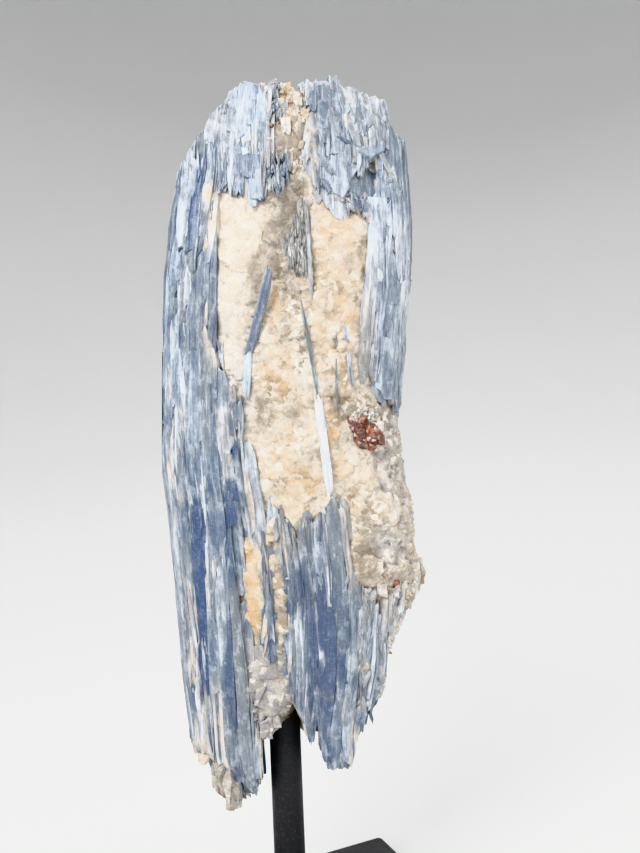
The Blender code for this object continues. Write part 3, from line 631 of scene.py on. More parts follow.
class StageProperties(bpy.types.PropertyGroup):
    """The floor and the studio light."""

    floor: colour_property("Floor", "Pale floor and backdrop", (0.62, 0.62, 0.61))
    key: FloatProperty(name="Key", description="Main light", default=14.0, unit="POWER")
    fill: FloatProperty(name="Fill", description="Light from the other side", default=4.6, unit="POWER")


# ---- materials ---------------------------------------------------------------------------
# Noise along the blades: scales across and along, detail, roughness. Then noise through the whole
# specimen: level scale, upright scale, detail, roughness.
BLADE_NOISE = {
    "fine": (6000.0, 240.0, 3.0, 0.6),
    "fibres": (2200.0, 120.0, 4.0, 0.65),
    "streaks": (650.0, 60.0, 3.0, 0.55),
    "breaks": (300.0, 1300.0, 2.0, 0.5),
}
PLACE_NOISE = {
    "veil": (520.0, 130.0, 5.0, 0.66),
    "mottle": (900.0, 430.0, 5.0, 0.7),
    "frost": (400.0, 220.0, 6.0, 0.72),
    "crumbs": (1900.0, 1200.0, 3.0, 0.6),
}
# The pale specks are quartz dust and painted sparkle.
PALE_CRUMB_AND_SPARKLE, DARK_CRUMB = (0.70, 0.69, 0.67), (0.15, 0.14, 0.12)
MILKY, GRAIN_LINE = (0.90, 0.86, 0.79), (0.36, 0.28, 0.20)


def kyanite_material(sizes):
    """Pearly blades: fibres along each blade, frosted in places, tone from the stored values, with a painted
    sheen on the pale fibres.
    """
    made = Shading("kyanite")
    blue, cream, grey, own = made.stored("blade")
    seed = made.times(own, 83.0)
    offset = made.add("CombineXYZ", {"X": seed, "Y": seed, "Z": seed})[0]
    along, place = made.add("UVMap", uv_map="along")[0], made.place()
    noise = {}
    for name, (across, up, *kind) in BLADE_NOISE.items():
        noise[name] = made.stretched_noise(along, (across, up, 1.0), offset, *kind)
    for name, (level, upright, *kind) in PLACE_NOISE.items():
        noise[name] = made.stretched_noise(place, (level, level, upright), (0.0, 0.0, 0.0), *kind)

    def read(name, *ranges):
        """One of the noises, remapped."""
        return made.remapped(noise[name], *ranges)

    depth = made.total(
        blue, read("streaks", 0.3, 0.7, 0.06, 0.26), read("fibres", 0.3, 0.7, 0.10, -0.08),
        read("veil", 0.34, 0.66, 0.13, -0.09), read("mottle", 0.34, 0.66, 0.10, -0.08),
    )
    colour = made.ramp(
        depth, (0.0, sizes.pearl_and_painted_sheen), (0.14, sizes.white_blue), (0.36, sizes.pale_blue),
        (0.66, sizes.mid_blue), (0.96, sizes.deep_blue),
    )
    stain = made.maths("MINIMUM", made.times(cream, read("frost", 0.38, 0.6, 0.6, 1.2)), 1.0)
    pale = made.remapped(blue, 0.12, 0.85, 1.0, 0.22)
    # Painted sheen: the pale fibres turn towards the pearl colour where two noises are high, in place of a
    # pearly highlight.
    painted_sheen = made.times(read("fibres", 0.50, 0.68, 0.0, 0.6), read("veil", 0.44, 0.62, 0.05, 0.7))
    frosted = made.times(read("frost", 0.51, 0.62, 0.0, 0.65), read("crumbs", 0.34, 0.58, 0.4, 1.0))
    frosted = made.times(frosted, pale)
    colour = made.layered(
        colour, (stain, sizes.cream), (grey, sizes.grey), (made.times(painted_sheen, pale), sizes.pearl_and_painted_sheen),
        (frosted, sizes.frost),
    )
    dark = made.times(read("fine", 0.30, 0.48, 0.70, 1.0), read("fibres", 0.30, 0.42, 0.66, 1.0))
    shade = made.add("CombineColor", {0: dark, 1: dark, 2: dark})[0]
    colour = made.mixed(0.8, colour, shade, "MULTIPLY")
    off_break = made.maths("ABSOLUTE", made.maths("SUBTRACT", noise["breaks"], 0.5))
    colour = made.layered(
        colour, (made.remapped(off_break, 0.0, 0.010, 0.2, 0.0), sizes.pearl_and_painted_sheen),
        # pale specks: dust, and painted sparkle
        (read("crumbs", 0.65, 0.73, 0.0, 0.35), PALE_CRUMB_AND_SPARKLE),
        (read("crumbs", 0.36, 0.30, 0.0, 0.45), DARK_CRUMB),
    )
    height = made.total(
        noise["fibres"], made.times(noise["fine"], 0.5), made.times(noise["crumbs"], frosted),
    )
    return made.finish({
        "Base Color": colour,
        "Roughness": made.total(read("fibres", 0.3, 0.75, 0.42, 0.2), made.times(frosted, 0.3)),
        "Subsurface Weight": 0.3,
        "Subsurface Radius": (0.8, 1.0, 1.2),
        "Subsurface Scale": 0.0009,
        "Specular IOR Level": 0.6,
        "IOR": 1.6,
        "Normal": made.bump(height, 0.6, 0.00016),
    })


def quartz_material(sizes):
    """Crystalline quartz: stored warmth, clearness and blue stain over grains of many tones."""
    made = Shading("quartz")
    warm, clear, stain, coarse = made.stored("quartz")
    place = made.place()
    bend = made.noise(place, 330.0, 4.0, 0.6).node.outputs["Color"]
    bend = made.vector_maths("SUBTRACT", bend, (0.5, 0.5, 0.5))
    bend = made.vector_maths("MULTIPLY", bend, (0.0045, 0.0045, 0.0045))
    bent = made.vector_maths("ADD", place, bend)
    cloud = made.noise(place, 170.0, 5.0, 0.6)
    veins = made.noise(bent, 420.0, 4.0, 0.6)
    fine = made.noise(place, 1300.0, 4.0, 0.7)

    def cells(scale, feature="F1"):
        """Bent cells of a scale."""
        return made.add("TexVoronoi", {"Vector": bent, "Scale": scale}, feature=feature)

    large, small, sugar = cells(270.0), cells(640.0), cells(1500.0)
    large_rim, small_rim = cells(270.0, "DISTANCE_TO_EDGE"), cells(640.0, "DISTANCE_TO_EDGE")
    vary = made.total(made.times(coarse, 0.7), 0.35)
    large_own, small_own = made.parts(large["Color"]), made.parts(small["Color"])
    swing = made.total(
        made.remapped(large_own[0], 0.0, 1.0, -0.16, 0.22),
        made.remapped(small_own[0], 0.0, 1.0, -0.10, 0.16),
    )
    warmth = made.times(warm, made.remapped(cloud, 0.32, 0.68, 0.4, 1.4))
    warmth = made.total(warmth, made.times(swing, vary))
    warmth = made.maths("MINIMUM", made.maths("MAXIMUM", warmth, 0.0), 1.1)
    swing = made.total(
        made.remapped(large_own[1], 0.62, 0.95, 0.0, 0.34),
        made.remapped(small_own[1], 0.66, 0.95, 0.0, 0.34), made.remapped(fine, 0.52, 0.72, 0.0, 0.3),
    )
    clearness = made.times(clear, made.remapped(veins, 0.32, 0.62, 0.45, 1.25))
    clearness = made.maths("MINIMUM", made.total(clearness, made.times(swing, vary)), 0.92)
    milky = made.times(
        made.remapped(small_own[2], 0.55, 0.95, 0.0, 0.75), made.remapped(cloud, 0.4, 0.58, 0.2, 1.0),
    )
    lines = made.maths(
        "MAXIMUM", made.remapped(large_rim["Distance"], 0.05, 0.0, 0.0, 0.5),
        made.remapped(small_rim["Distance"], 0.05, 0.0, 0.0, 0.35),
    )
    colour = made.layered(
        made.mixed(warmth, sizes.white, sizes.warm), (clearness, sizes.clear),
        (made.times(stain, made.remapped(veins, 0.3, 0.6, 0.5, 1.2)), sizes.stain),
        (made.times(milky, vary), MILKY), (made.times(lines, vary), GRAIN_LINE),
    )
    height = made.total(
        made.times(sugar["Distance"], -0.35), made.times(fine, 0.5), made.times(small["Distance"], -1.0),
        made.times(veins, 1.2),
    )
    return made.finish({
        "Base Color": colour,
        "Roughness": made.remapped(made.parts(sugar["Color"])[0], 0.1, 0.9, 0.12, 0.5),
        "Subsurface Weight": 0.5,
        "Subsurface Radius": (1.3, 1.0, 0.7),
        "Subsurface Scale": 0.001,
        "IOR": 1.54,
        "Specular IOR Level": 0.6,
        "Normal": made.bump(height, 0.6, 0.0004),
    })


def garnet_material(sizes):
    """Red-brown garnet with glassy faces, painted orange glints and pale crumbs."""
    made = Shading("garnet")
    place = made.place()
    cloud = made.noise(place, 620.0, 5.0, 0.7)
    chips = made.add("TexVoronoi", {"Vector": place, "Scale": 1100.0})
    own = made.parts(chips["Color"])
    colour = made.ramp(
        cloud, (0.30, (0.03, 0.012, 0.009)), (0.48, sizes.garnet), (0.62, (0.30, 0.10, 0.055)),
        (0.72, (0.55, 0.40, 0.31)),
    )
    colour = made.layered(
        # Orange cells are painted glints; pale cells are crumbs of quartz.
        colour, (made.remapped(own[0], 0.7, 0.95, 0.0, 0.8), (0.45, 0.14, 0.06)),
        (made.remapped(own[1], 0.84, 0.97, 0.0, 0.8), (0.72, 0.60, 0.52)),
    )
    return made.finish({
        "Base Color": colour,
        "Roughness": made.remapped(own[2], 0.1, 0.9, 0.08, 0.4),
        "IOR": 1.8,
        "Normal": made.bump(made.maths("SUBTRACT", cloud, chips["Distance"]), 0.8, 0.0004),
    })


def steel_material(sizes, name, speck):
    """Blackened steel, rough from the fire scale, with dusty specks."""
    made = Shading(name)
    place = made.place()
    cloud = made.noise(place, 60.0, 5.0, 0.6)
    pits = made.noise(place, 1500.0, 3.0, 0.6)
    worn = made.times(
        made.remapped(pits, 0.50, 0.78, 0.0, speck), made.remapped(cloud, 0.3, 0.6, 0.5, 1.0),
    )
    return made.finish({
        "Base Color": made.mixed(worn, sizes.black, sizes.worn),
        "Roughness": made.remapped(cloud, 0.3, 0.7, 0.42, 0.62),
        "Metallic": 0.35,
        "Normal": made.bump(pits, 0.5, 0.0002),
    })


# ---- kyanite -----------------------------------------------------------------------------
PATH_POINTS = 16
CLIP_STEPS = 40  # tests along a blade for where it leaves the outline
HEIGHTS = np.arange(38.0, 233.0, 0.5)  # of the flow, where it is tested
WAIST = 130.0  # the height at which the blades of a layer stand side by side
LOW_HEIGHT, LOW_LENGTH = 112.0, 1.9  # below this height the blades are longer by this factor
SHORTEST_SPAN, SHORTEST_END, SHORTEST_STRIP, SHORTEST_INNER = 3, 8, 0.4, 4
LEAVE_WHOLE = 0.7  # of the longest length; a shorter span isn't broken
BREAK_SHARES, BREAK_OVERLAP = (0.22, 0.8), (0.5, 4)
# Ranges to draw from: shares of the width at the foot and the tip, slant; then rag where it is here.
FLOW_SHAPE = ((0.5, 1), (0.45, 1), (-1.5, 1.5))
FACE_SHAPE = ((0.65, 1), (0.65, 1), (-0.8, 0.8), (0.3, 1.6))
# The same after the width and the thickness.
INNER_SHAPE = ((1.0, 3.2), (0.8, 1.8), (0.3, 1), (0.3, 1), (-1, 1), (0.3, 2.0))
LAYER_WIDER, LAYER_RAG = (1.05, 1.4), (0.4, 2.6)  # a layer's blades overlap by being wider
PATCH_RAG, PATCH_LEAN = (0.3, 1.8), 0.014
FAR = 99  # more strips than a blade has
CREASE = 38  # degrees; a sharper turn of the surface shows as an edge
UNDER_QUARTZ = 2.2  # how far the lower layers reach under the quartz
INNER_LENGTHS = (8, 20)  # shortest and longest inner blade
TOP_FLOOR, FEET_ROOF = 203, 78  # the inner blades stay above the one or below the other
FACE_MIDDLE, FACE_TURN = 4, 0.012  # where the best face's blades face ahead; their turn beside it
SHARD_SCATTER = (0.13, 0.08, 0.10)  # of the tone
PLATE_EDGE, PLATE_THICKNESS, PLATE_RISE, PLATE_OVERLAP = 0.25, 2.2, 0.1, 0.7
STREAK_STRAY = (0.12, 1.6)  # how far astray across and up a blade reads the streaks
STAIN_SHARE, STAIN_REACH = 0.7, 1.8  # cream on the blades next to the quartz
WEATHERED, WEATHERED_TONE = (206, 228), (0.02, 0.24, 0.2)  # heights of the paler top; its tone
# A blade's own tone: the draws up to which it holds on the best face and behind it, then blue,
# cream and grey, each a value or a range to draw from.
PLAIN_TONES = [
    (0.11, 0.11, 0.06, (0.3, 0.8), (0.1, 0.3)),
    (0.22, 0.22, (0.28, 0.45), 0.08, (0.3, 0.75)),
    (0.36, 0.36, (-0.1, 0.08), (0, 0.12), (0, 0.1)),
    (0.46, 0.56, (0.6, 0.95), 0.0, (0, 0.12)),
    (1, 1, (0.12, 0.46), (0, 0.1), (0, 0.22)),
]


def bar_template(stations, levels):
    """A bar from -1 to 1 on each axis, cut into rings along Z and into strips across X."""
    bm = bmesh.new()
    bmesh.ops.create_cube(bm, size=2.0)
    for axis, cuts in ((2, stations - 2), (0, levels - 2)):
        edges = [e for e in bm.edges if abs(e.verts[0].co[axis] - e.verts[1].co[axis]) > 1]
        bmesh.ops.subdivide_edges(bm, edges=edges, cuts=cuts, use_grid_fill=True)
    return mesh_from(bm, "bar")


def copies(template, count):
    """One mesh of count copies of a template, each a block of vertices in the same order."""
    obj = bpy.data.objects.new("copies", template)
    bpy.context.scene.collection.objects.link(obj)
    array = obj.modifiers.new("Copies", "ARRAY")
    array.count = count
    array.use_relative_offset = False
    array.use_constant_offset = True
    array.constant_offset_displace = (10.0, 0.0, 0.0)
    graph = bpy.context.evaluated_depsgraph_get()
    mesh = bpy.data.meshes.new_from_object(obj.evaluated_get(graph), depsgraph=graph)
    bpy.data.objects.remove(obj)
    return mesh


def read_along(rows, share):
    """Rows of points, one row for each blade, read at shares of the way along."""
    place = np.clip(share, 0, 1) * (rows.shape[1] - 1)
    index = np.minimum(place.astype(int), rows.shape[1] - 2)
    part = (place - index)[..., None]
    blade = np.arange(len(rows)).reshape(-1, *[1] * (share.ndim - 1))
    return rows[blade, index] * (1 - part) + rows[blade, index + 1] * part


def unit_rows(vectors):
    """The vectors at a length of 1."""
    return vectors / np.linalg.norm(vectors, axis=-1, keepdims=True)


def in_front(y, w):
    """True where the best face's quartz can reach, which ends in a ragged line down the side."""
    return y < QUARTZ_BACK + 2.4 * np.sin(w * 0.33) + 1.2 * np.sin(w * 1.1 + 1)


def in_quartz(u, w, overlap, plates=False):
    """True where quartz, or a plate, shows, less a strip of it that blades may overlap."""
    found = inside(QUARTZ_WINDOW, u, w) & (edge_distance(QUARTZ_WINDOW, u, w) > overlap)
    found |= inside(HOLLOW, u, w)
    for spot in QUARTZ_SPOTS:
        found |= inside(spot, u, w) & (edge_distance(spot, u, w) > overlap)
    if plates:
        for spot, *_ in KYANITE_PLATES:
            found |= inside(spot, u, w) & (edge_distance(spot, u, w) > overlap + PLATE_OVERLAP)
    return found


def lay_out(mesh, u, v):
    """UV map in metres: U across a blade, V along it."""
    uv = np.stack([u, v], axis=-1).reshape(-1, 2) * MM
    corner = np.empty(len(mesh.loops), np.int32)
    mesh.loops.foreach_get("vertex_index", corner)
    layer = mesh.uv_layers.new(name="along")
    layer.data.foreach_set("uv", uv[corner].astype(np.float32).ravel())


def flat_plate(corners, proud, lean_across, lean_up):
    """A plate with a flat face, whose corners lie where the camera sees them, and a soft rim."""
    camera = np.array(CAMERA_PLACE)
    across, up = np.array(corners).T
    spots = np.array([[0, 0], [1, 0], [0, 1]]) + (across.mean(), up.mean())
    middle, right, above = on_face(spots[:, 0], spots[:, 1], proud + PLATE_RISE)
    right, above = unit_rows(np.stack([right - middle, above - middle]))
    out = np.cross(right, above)
    right = right + out * math.tan(math.radians(lean_across))
    above = above + out * math.tan(math.radians(lean_up))
    normal = unit_rows(np.cross(right, above))
    rays = np.stack([across, 0 * across, up], axis=-1) - camera
    top = camera + rays * (((middle - camera) @ normal) / (rays @ normal))[:, None]
    plate = bmesh.new()
    face = plate.faces.new([plate.verts.new(point * MM) for point in top])
    made = bmesh.ops.extrude_face_region(plate, geom=[face])["geom"]
    deep = [part for part in made if isinstance(part, bmesh.types.BMVert)]
    bmesh.ops.translate(plate, verts=deep, vec=normal * -PLATE_THICKNESS * MM)
    rim = [e for e in plate.edges if not any(v in deep for v in e.verts)]
    bmesh.ops.recalc_face_normals(plate, faces=plate.faces[:])
    bevelled(plate, rim, PLATE_EDGE * MM, 2, 0.6)
    return mesh_from(plate, "plate")


def kyanite_plates(material, rng):
    """The flat broken faces of kyanite, joined in one piece."""
    bm = bmesh.new()
    sizes, values = [], []
    for corners, proud, lean_across, lean_up, *tone in KYANITE_PLATES:
        plate = flat_plate(corners, proud, lean_across, lean_up)
        bm.from_mesh(plate)
        sizes.append(len(plate.vertices))
        values.append([*tone, rng.uniform(0, 1)])
        bpy.data.meshes.remove(plate)
    mesh = mesh_from(bm, "kyanite_plates")
    paint(mesh, "blade", np.repeat(values, sizes, axis=0))
    lay_out(mesh, *as_seen(get_points(mesh) / MM))
    place_cluster_piece(mesh_object("kyanite_plates", mesh, material))


class Blades:
    """Collects blades and grows them as one mesh of flat-faced, ridged bars.

    overlap is how far the blades may reach over or under the quartz; None lets them lie on it.
    stray is how far one blade's own limit may differ from that, streaked lets STREAKS tint the
    blades, and plates keeps them off KYANITE_PLATES too."""

    RAGGED, STRAY_UP = 0.6, 0.8  # how unevenly the strips end, by themselves and at the quartz
    JITTER = (0.2, 1.0)  # of a step, by which a strip stops short of where it may reach
    NUDGE = 0.002  # keeps strips that were pulled in from lying in one place
    RIDGE, RIDGE_WALK = 0.16, 0.07  # shares of a blade's thickness
    DROP, DROP_ODDS = 0.3, 0.4  # how far a broken strip lies lower, and how often
    WANDER = 0.02
    TAPER, TAPER_SHARE = 5.0, 0.3  # an end narrows over this length, at most this share
    SWAY, SWAY_LENGTHS = 0.12, (3.5, 9)
    STEP_LENGTH, STEP_SHARE = 0.25, 0.6  # how steep a break across a blade is
    SLIMMEST = 0.3
    PALE_SIDES = 0.4  # a blade's sides lose this share of their blue

    def __init__(self, rng, stations, levels, overlap=0.0, stray=0.0, streaked=True, plates=False):
        self.rng, self.stations, self.levels, self.plates = rng, stations, levels, plates
        self.overlap, self.stray, self.streaked = overlap, stray, streaked
        self.paths, self.facings, self.shapes, self.tones = [], [], [], []

    def add(self, path, facing, shape, tone):
        """shape: width, thickness, shares of the width at the foot and the tip, slant, rag."""
        self.paths.append(path)
        self.facings.append(np.broadcast_to(facing, (PATH_POINTS, 3)))
        self.shapes.append(shape)
        self.tones.append(tone)

    def strip_ends(self, path, across, spots, half, length, slant, rag):
        """Where each strip of each blade lies, starts and ends, with strips outside pulled in."""
        rng, count = self.rng, len(path)
        noise = abs(rng.normal(0, self.RAGGED, (count, 2, self.levels))) * rag[..., None]
        lean = slant * spots * half
        starts = (noise[:, 0] + lean - lean.min(axis=1, keepdims=True)) / length
        ends = 1 - (noise[:, 1] + lean - lean.min(axis=1, keepdims=True)) / length
        steps = np.broadcast_to(np.linspace(0, 1, CLIP_STEPS + 1), (count, CLIP_STEPS + 1))
        tests = read_along(path, steps)[:, :, None]
        tests = tests + read_along(across, steps)[:, :, None] * (spots * half)[:, None, :, None]
        u, w = as_seen(tests)
        fits = inside(OUTLINE, u, w)
        if self.overlap is not None:
            shift = rng.normal(0, self.STRAY_UP, (count, 1, self.levels))
            astray = rng.normal(0, self.stray, (count, 1, 1))
            on_quartz = in_quartz(u + astray, w + shift, self.overlap, self.plates)
            fits &= ~(on_quartz & in_front(tests[..., 1], w + shift))
        index = np.arange(CLIP_STEPS + 1)[None, :, None]
        middle = CLIP_STEPS // 2
        below = np.where(fits | (index > middle), -1, index).max(axis=1)
        above = np.where(fits | (index < middle), CLIP_STEPS + 1, index).min(axis=1)
        jitter = rng.uniform(*self.JITTER, (2, count, self.levels))
        starts = np.maximum(starts, (below + jitter[0]) / CLIP_STEPS)
        ends = np.minimum(ends, (above - jitter[1]) / CLIP_STEPS)
        ends = np.maximum(ends, starts + SHORTEST_STRIP / length)
        number = np.arange(self.levels)
        gap = abs(number[:, None] - number) + FAR * ~fits[:, middle][:, None, :]
        nearest = gap.argmin(axis=2)
        spots = np.take_along_axis(spots, nearest, axis=1) + self.NUDGE * (number - nearest)
        return spots, np.take_along_axis(starts, nearest, axis=1), np.take_along_axis(ends, nearest, axis=1)

    def uneven_spots(self):
        """Where the strips lie across each blade, from -1 to 1, some wide and some narrow."""
        count, levels = len(self.paths), self.levels
        spots = np.cumsum(self.rng.uniform(0.5, 1.5, (count, levels - 1)), axis=1)
        spots = np.concatenate([np.zeros((count, 1)), spots], axis=1)
        return spots / spots[:, -1:] * 2 - 1

    def uneven_stations(self, length):
        """Where the rings lie along each blade, two of them doubled for a steep break."""
        count, stations = len(self.paths), self.stations
        t = np.tile(np.linspace(0, 1, stations), (count, 1))
        for k in self.breaks():
            t[:, k] += self.rng.uniform(-0.35, 0.35, count) / stations
            step = np.minimum(self.STEP_LENGTH / length[:, 0], self.STEP_SHARE / stations)
            t[:, k + 1] = t[:, k] + step
        return t

    def breaks(self):
        """The two rings after which a blade's surface may step."""
        return self.stations // 3, 2 * self.stations // 3

    def surface(self, thick):
        """How far each ring and strip stands out of each blade's flat face."""
        rng, count, stations, levels = self.rng, len(self.paths), self.stations, self.levels
        walk = np.cumsum(rng.normal(0, self.RIDGE_WALK, (count, levels)), axis=1)
        ridges = np.clip(walk - walk.mean(axis=1, keepdims=True), -self.RIDGE, self.RIDGE) * thick
        ridges[:, [0, -1]] -= self.RIDGE * thick
        lower = rng.uniform(0, self.DROP, (count, 2, levels))
        lower = lower * (rng.uniform(size=(count, 2, levels)) < self.DROP_ODDS)
        first, second = self.breaks()
        at = np.arange(stations)[None, :, None]
        drop = lower[:, :1] * (at <= first) + lower[:, 1:] * (at > second)
        wander = rng.normal(0, self.WANDER, (count, stations, levels))
        return ridges[:, None] + (wander - drop) * thick[..., None]

    def grow(self, name, material):
        """Makes one mesh of the blades collected so far and sets it on the body."""
        rng, count, stations, levels = self.rng, len(self.paths), self.stations, self.levels
        template = bar_template(stations, levels)
        mesh = copies(template, count)
        unit = get_points(template)
        level = np.round((unit[:, 0] + 1) / 2 * (levels - 1)).astype(int)
        station = np.round((unit[:, 2] + 1) / 2 * (stations - 1)).astype(int)
        front = unit[None, :, 1] > 0
        path = np.array(self.paths)
        ahead = unit_rows(np.gradient(path, axis=1))
        across = unit_rows(np.cross(np.array(self.facings), ahead))
        out = np.cross(ahead, across)
        length = np.linalg.norm(np.diff(path, axis=1), axis=-1).sum(axis=1)[:, None]
        width, thick, foot, tip, slant, rag = np.array(self.shapes).T[:, :, None]
        spots, starts, ends = self.strip_ends(
            path, across, self.uneven_spots(), width / 2, length, slant, rag
        )
        t = self.uneven_stations(length)
        share = starts[:, None] + (ends - starts)[:, None] * t[..., None]
        reach = np.minimum(self.TAPER_SHARE, self.TAPER / length)
        narrow = np.minimum(
            foot + (1 - foot) * smooth(0, reach, t), tip + (1 - tip) * smooth(0, reach, 1 - t)
        )
        rise = self.surface(thick)
        sway = rng.uniform(0, 2 * math.pi, (count, 1))
        sway = self.SWAY * np.sin(sway + t * length / rng.uniform(*self.SWAY_LENGTHS, (count, 1)))
        sideways = (spots * width / 2)[:, None] * narrow[..., None] + sway[..., None]
        x = sideways[:, station, level]
        slim = self.SLIMMEST + (1 - self.SLIMMEST) * narrow[:, station]
        y = unit[None, :, 1] * thick / 2 * slim + front * rise[:, station, level] * slim
        v = share[:, station, level]
        middles = read_along(path, v)
        points = middles + read_along(across, v) * x[..., None] + read_along(out, v) * y[..., None]
        set_points(mesh, points.reshape(-1, 3))
        crease(mesh, CREASE)
        lay_out(mesh, x + ~front * width, v * length)
        tones = shaded(middles + (points - middles) * 0.2, np.array(self.tones), self.streaked, rng)
        at_side = (level == 0) | (level == levels - 1)
        tones[..., 0] = tones[..., 0] * (1 - self.PALE_SIDES * at_side)
        own = np.broadcast_to(rng.uniform(0, 1, (count, 1, 1)), (*x.shape, 1))
        paint(mesh, "blade", np.concatenate([tones, own], axis=-1).reshape(-1, 4))
        place_cluster_piece(mesh_object(name, mesh, material))


def shaded(points, tones, streaked, rng):
    """Each vertex's (blue, cream, grey): the blade's own, weathered, stained and streaked."""
    count = len(points)
    u, w = as_seen(points)
    u = u + rng.normal(0, STREAK_STRAY[0], (count, 1))
    w = w + rng.normal(0, STREAK_STRAY[1], (count, 1))
    tones = np.repeat(tones[:, None], points.shape[1], axis=1)
    if not streaked:
        return tones
    facing = smooth(0.5, -3.0, points[..., 1])
    for top_u, top_w, foot_u, foot_w, width, *tone in STREAKS:
        t = (w - foot_w) / (top_w - foot_w)
        away = abs(u - foot_u - (top_u - foot_u) * t) * 2 / width
        share = smooth(1.15, 0.85, away) * smooth(-0.05, 0.02, t) * smooth(1.05, 0.98, t) * facing
        tones = tones + share[..., None] * (np.array(tone) - tones)
    stain = STAIN_SHARE * np.exp(-edge_distance(QUARTZ_WINDOW, u, w) / STAIN_REACH) * facing
    stain = stain * rng.uniform(0, 1, (count, 1))
    tones[..., 0] += rng.normal(0, 0.10, (count, 1))
    weather = smooth(*WEATHERED, w) * rng.uniform(0.1, 0.8, (count, 1))
    tones = tones + weather[..., None] * (np.array(WEATHERED_TONE) - tones)
    tones[..., 1] += stain
    return tones


def spans_of(turn, sink, overlap, rng):
    """Heights between which the flow at a turn stays in the outline and off the quartz."""
    points = section(np.full(HEIGHTS.shape, turn), HEIGHTS) - outward(turn, HEIGHTS) * sink
    u, w = as_seen(points)
    solid = inside(OUTLINE, u, w)
    if overlap is not None:
        solid &= ~(in_quartz(u, w + rng.normal(0, 1.0), overlap) & in_front(points[:, 1], w))
    edges = np.flatnonzero(np.diff(np.concatenate([[0], solid.astype(int), [0]])))
    spans = [(HEIGHTS[a], HEIGHTS[min(b, len(HEIGHTS) - 1)]) for a, b in zip(edges[::2], edges[1::2])]
    return [span for span in spans if span[1] - span[0] > SHORTEST_SPAN]


def broken(span, longest, rng):
    """Breaks a span of heights into blades of different lengths."""
    low, high = span
    while high - low > longest * LEAVE_WHOLE:
        cut = low + rng.uniform(*BREAK_SHARES) * longest * (LOW_LENGTH if low < LOW_HEIGHT else 1.0)
        if high - cut < SHORTEST_END:
            break
        yield low, cut + rng.uniform(*BREAK_OVERLAP)
        low = cut
    yield low, high


def plain_tone(turn, rng):
    """A blade's (blue, cream, grey) where no streak sets it."""
    kind, side = rng.uniform(), int(math.sin(turn) >= 0.3)
    tone = next(row[2:] for row in PLAIN_TONES if kind < row[side])
    return np.array([rng.uniform(*part) if isinstance(part, tuple) else part for part in tone])


def drawn(rng, ranges):
    """A draw from each range."""
    return [rng.uniform(*limits) for limits in ranges]


def turned(vectors, angle):
    """Level vectors turned about Z."""
    c, s = math.cos(angle), math.sin(angle)
    x, y = vectors[..., 0], vectors[..., 1]
    return np.stack([x * c - y * s, x * s + y * c, vectors[..., 2]], axis=-1)


def flow_blade(blades, turn, low, high, sink, width, thickness, tone, rag, lean=0.012, twist=0.14):
    """A blade that follows the flow round the specimen."""
    rng = blades.rng
    heights = np.linspace(low, high, PATH_POINTS)
    turns = turn + rng.normal(0, lean) * np.linspace(-1, 1, PATH_POINTS)
    out = outward(turns, heights)
    path = section(turns, heights) - out * sink
    facing = turned(out, rng.normal(0, twist))
    blades.add(path, facing, (width, thickness, *drawn(rng, FLOW_SHAPE), rag), tone)


def arc_step(turn, height, distance):
    """The change of turn that moves a point by a distance round the section."""
    step = 0.01
    reach = np.linalg.norm(section(turn + step, height) - section(turn - step, height)) / (2 * step)
    return distance / max(reach, 4.0)


def flow_layer(blades, widths, longest, sinks, thickness):
    """Blades that wrap the whole specimen in one layer."""
    rng = blades.rng
    turn = 0.0
    while turn < 2 * math.pi:
        width = rng.uniform(*widths)
        step = arc_step(turn, WAIST, width)
        for span in spans_of(turn + step / 2, sinks[1], blades.overlap, rng):
            for low, high in broken(span, longest, rng):
                sink, wide = rng.uniform(*sinks), width * rng.uniform(*LAYER_WIDER)
                tone, rag = plain_tone(turn, rng), rng.uniform(*LAYER_RAG)
                flow_blade(blades, turn + step / 2, low, high, sink, wide, thickness, tone, rag)
        turn += step


def flow_patches(blades, count, lengths, widths, sinks, thickness, twist, highest=240.0):
    """Broken blades that lie proud of the layers, anywhere round the specimen."""
    rng = blades.rng
    for _ in range(count):
        turn = rng.uniform(0, 2 * math.pi)
        spans = spans_of(turn, 0.0, blades.overlap, rng)
        if not spans:
            continue
        low, high = spans[rng.integers(len(spans))]
        high = max(min(high, highest), low + lengths[0])
        start = rng.uniform(low, high)
        length = rng.uniform(*lengths) * (LOW_LENGTH if start < LOW_HEIGHT else 1.0)
        length = min(length, high - low)
        start = min(start, high - length)
        flow_blade(
            blades, turn, start, start + length, rng.uniform(*sinks), rng.uniform(*widths), thickness,
            plain_tone(turn, rng), rng.uniform(*PATCH_RAG), PATCH_LEAN, twist,
        )


def face_blade(blades, top_u, top_w, foot_u, foot_w, width, proud, tone, twist, thickness=1.3):
    """A blade of the best face between two places on it."""
    rng = blades.rng
    up = np.linspace(foot_w, top_w, PATH_POINTS)
    across = np.linspace(foot_u, top_u, PATH_POINTS)
    path = on_face(across, up, proud - thickness / 2)
    facing = np.array([math.sin(twist) + (path[5, 0] - FACE_MIDDLE) * FACE_TURN, -1.0, 0.0])
    blunt = min(width / 1.8, 1.0)
    foot, tip, slant, rag = drawn(rng, FACE_SHAPE)
    shape = (width, thickness, blunt * foot, blunt * tip, slant, rag)
    blades.add(path, facing, shape, tone + rng.normal(0, 0.03, 3))


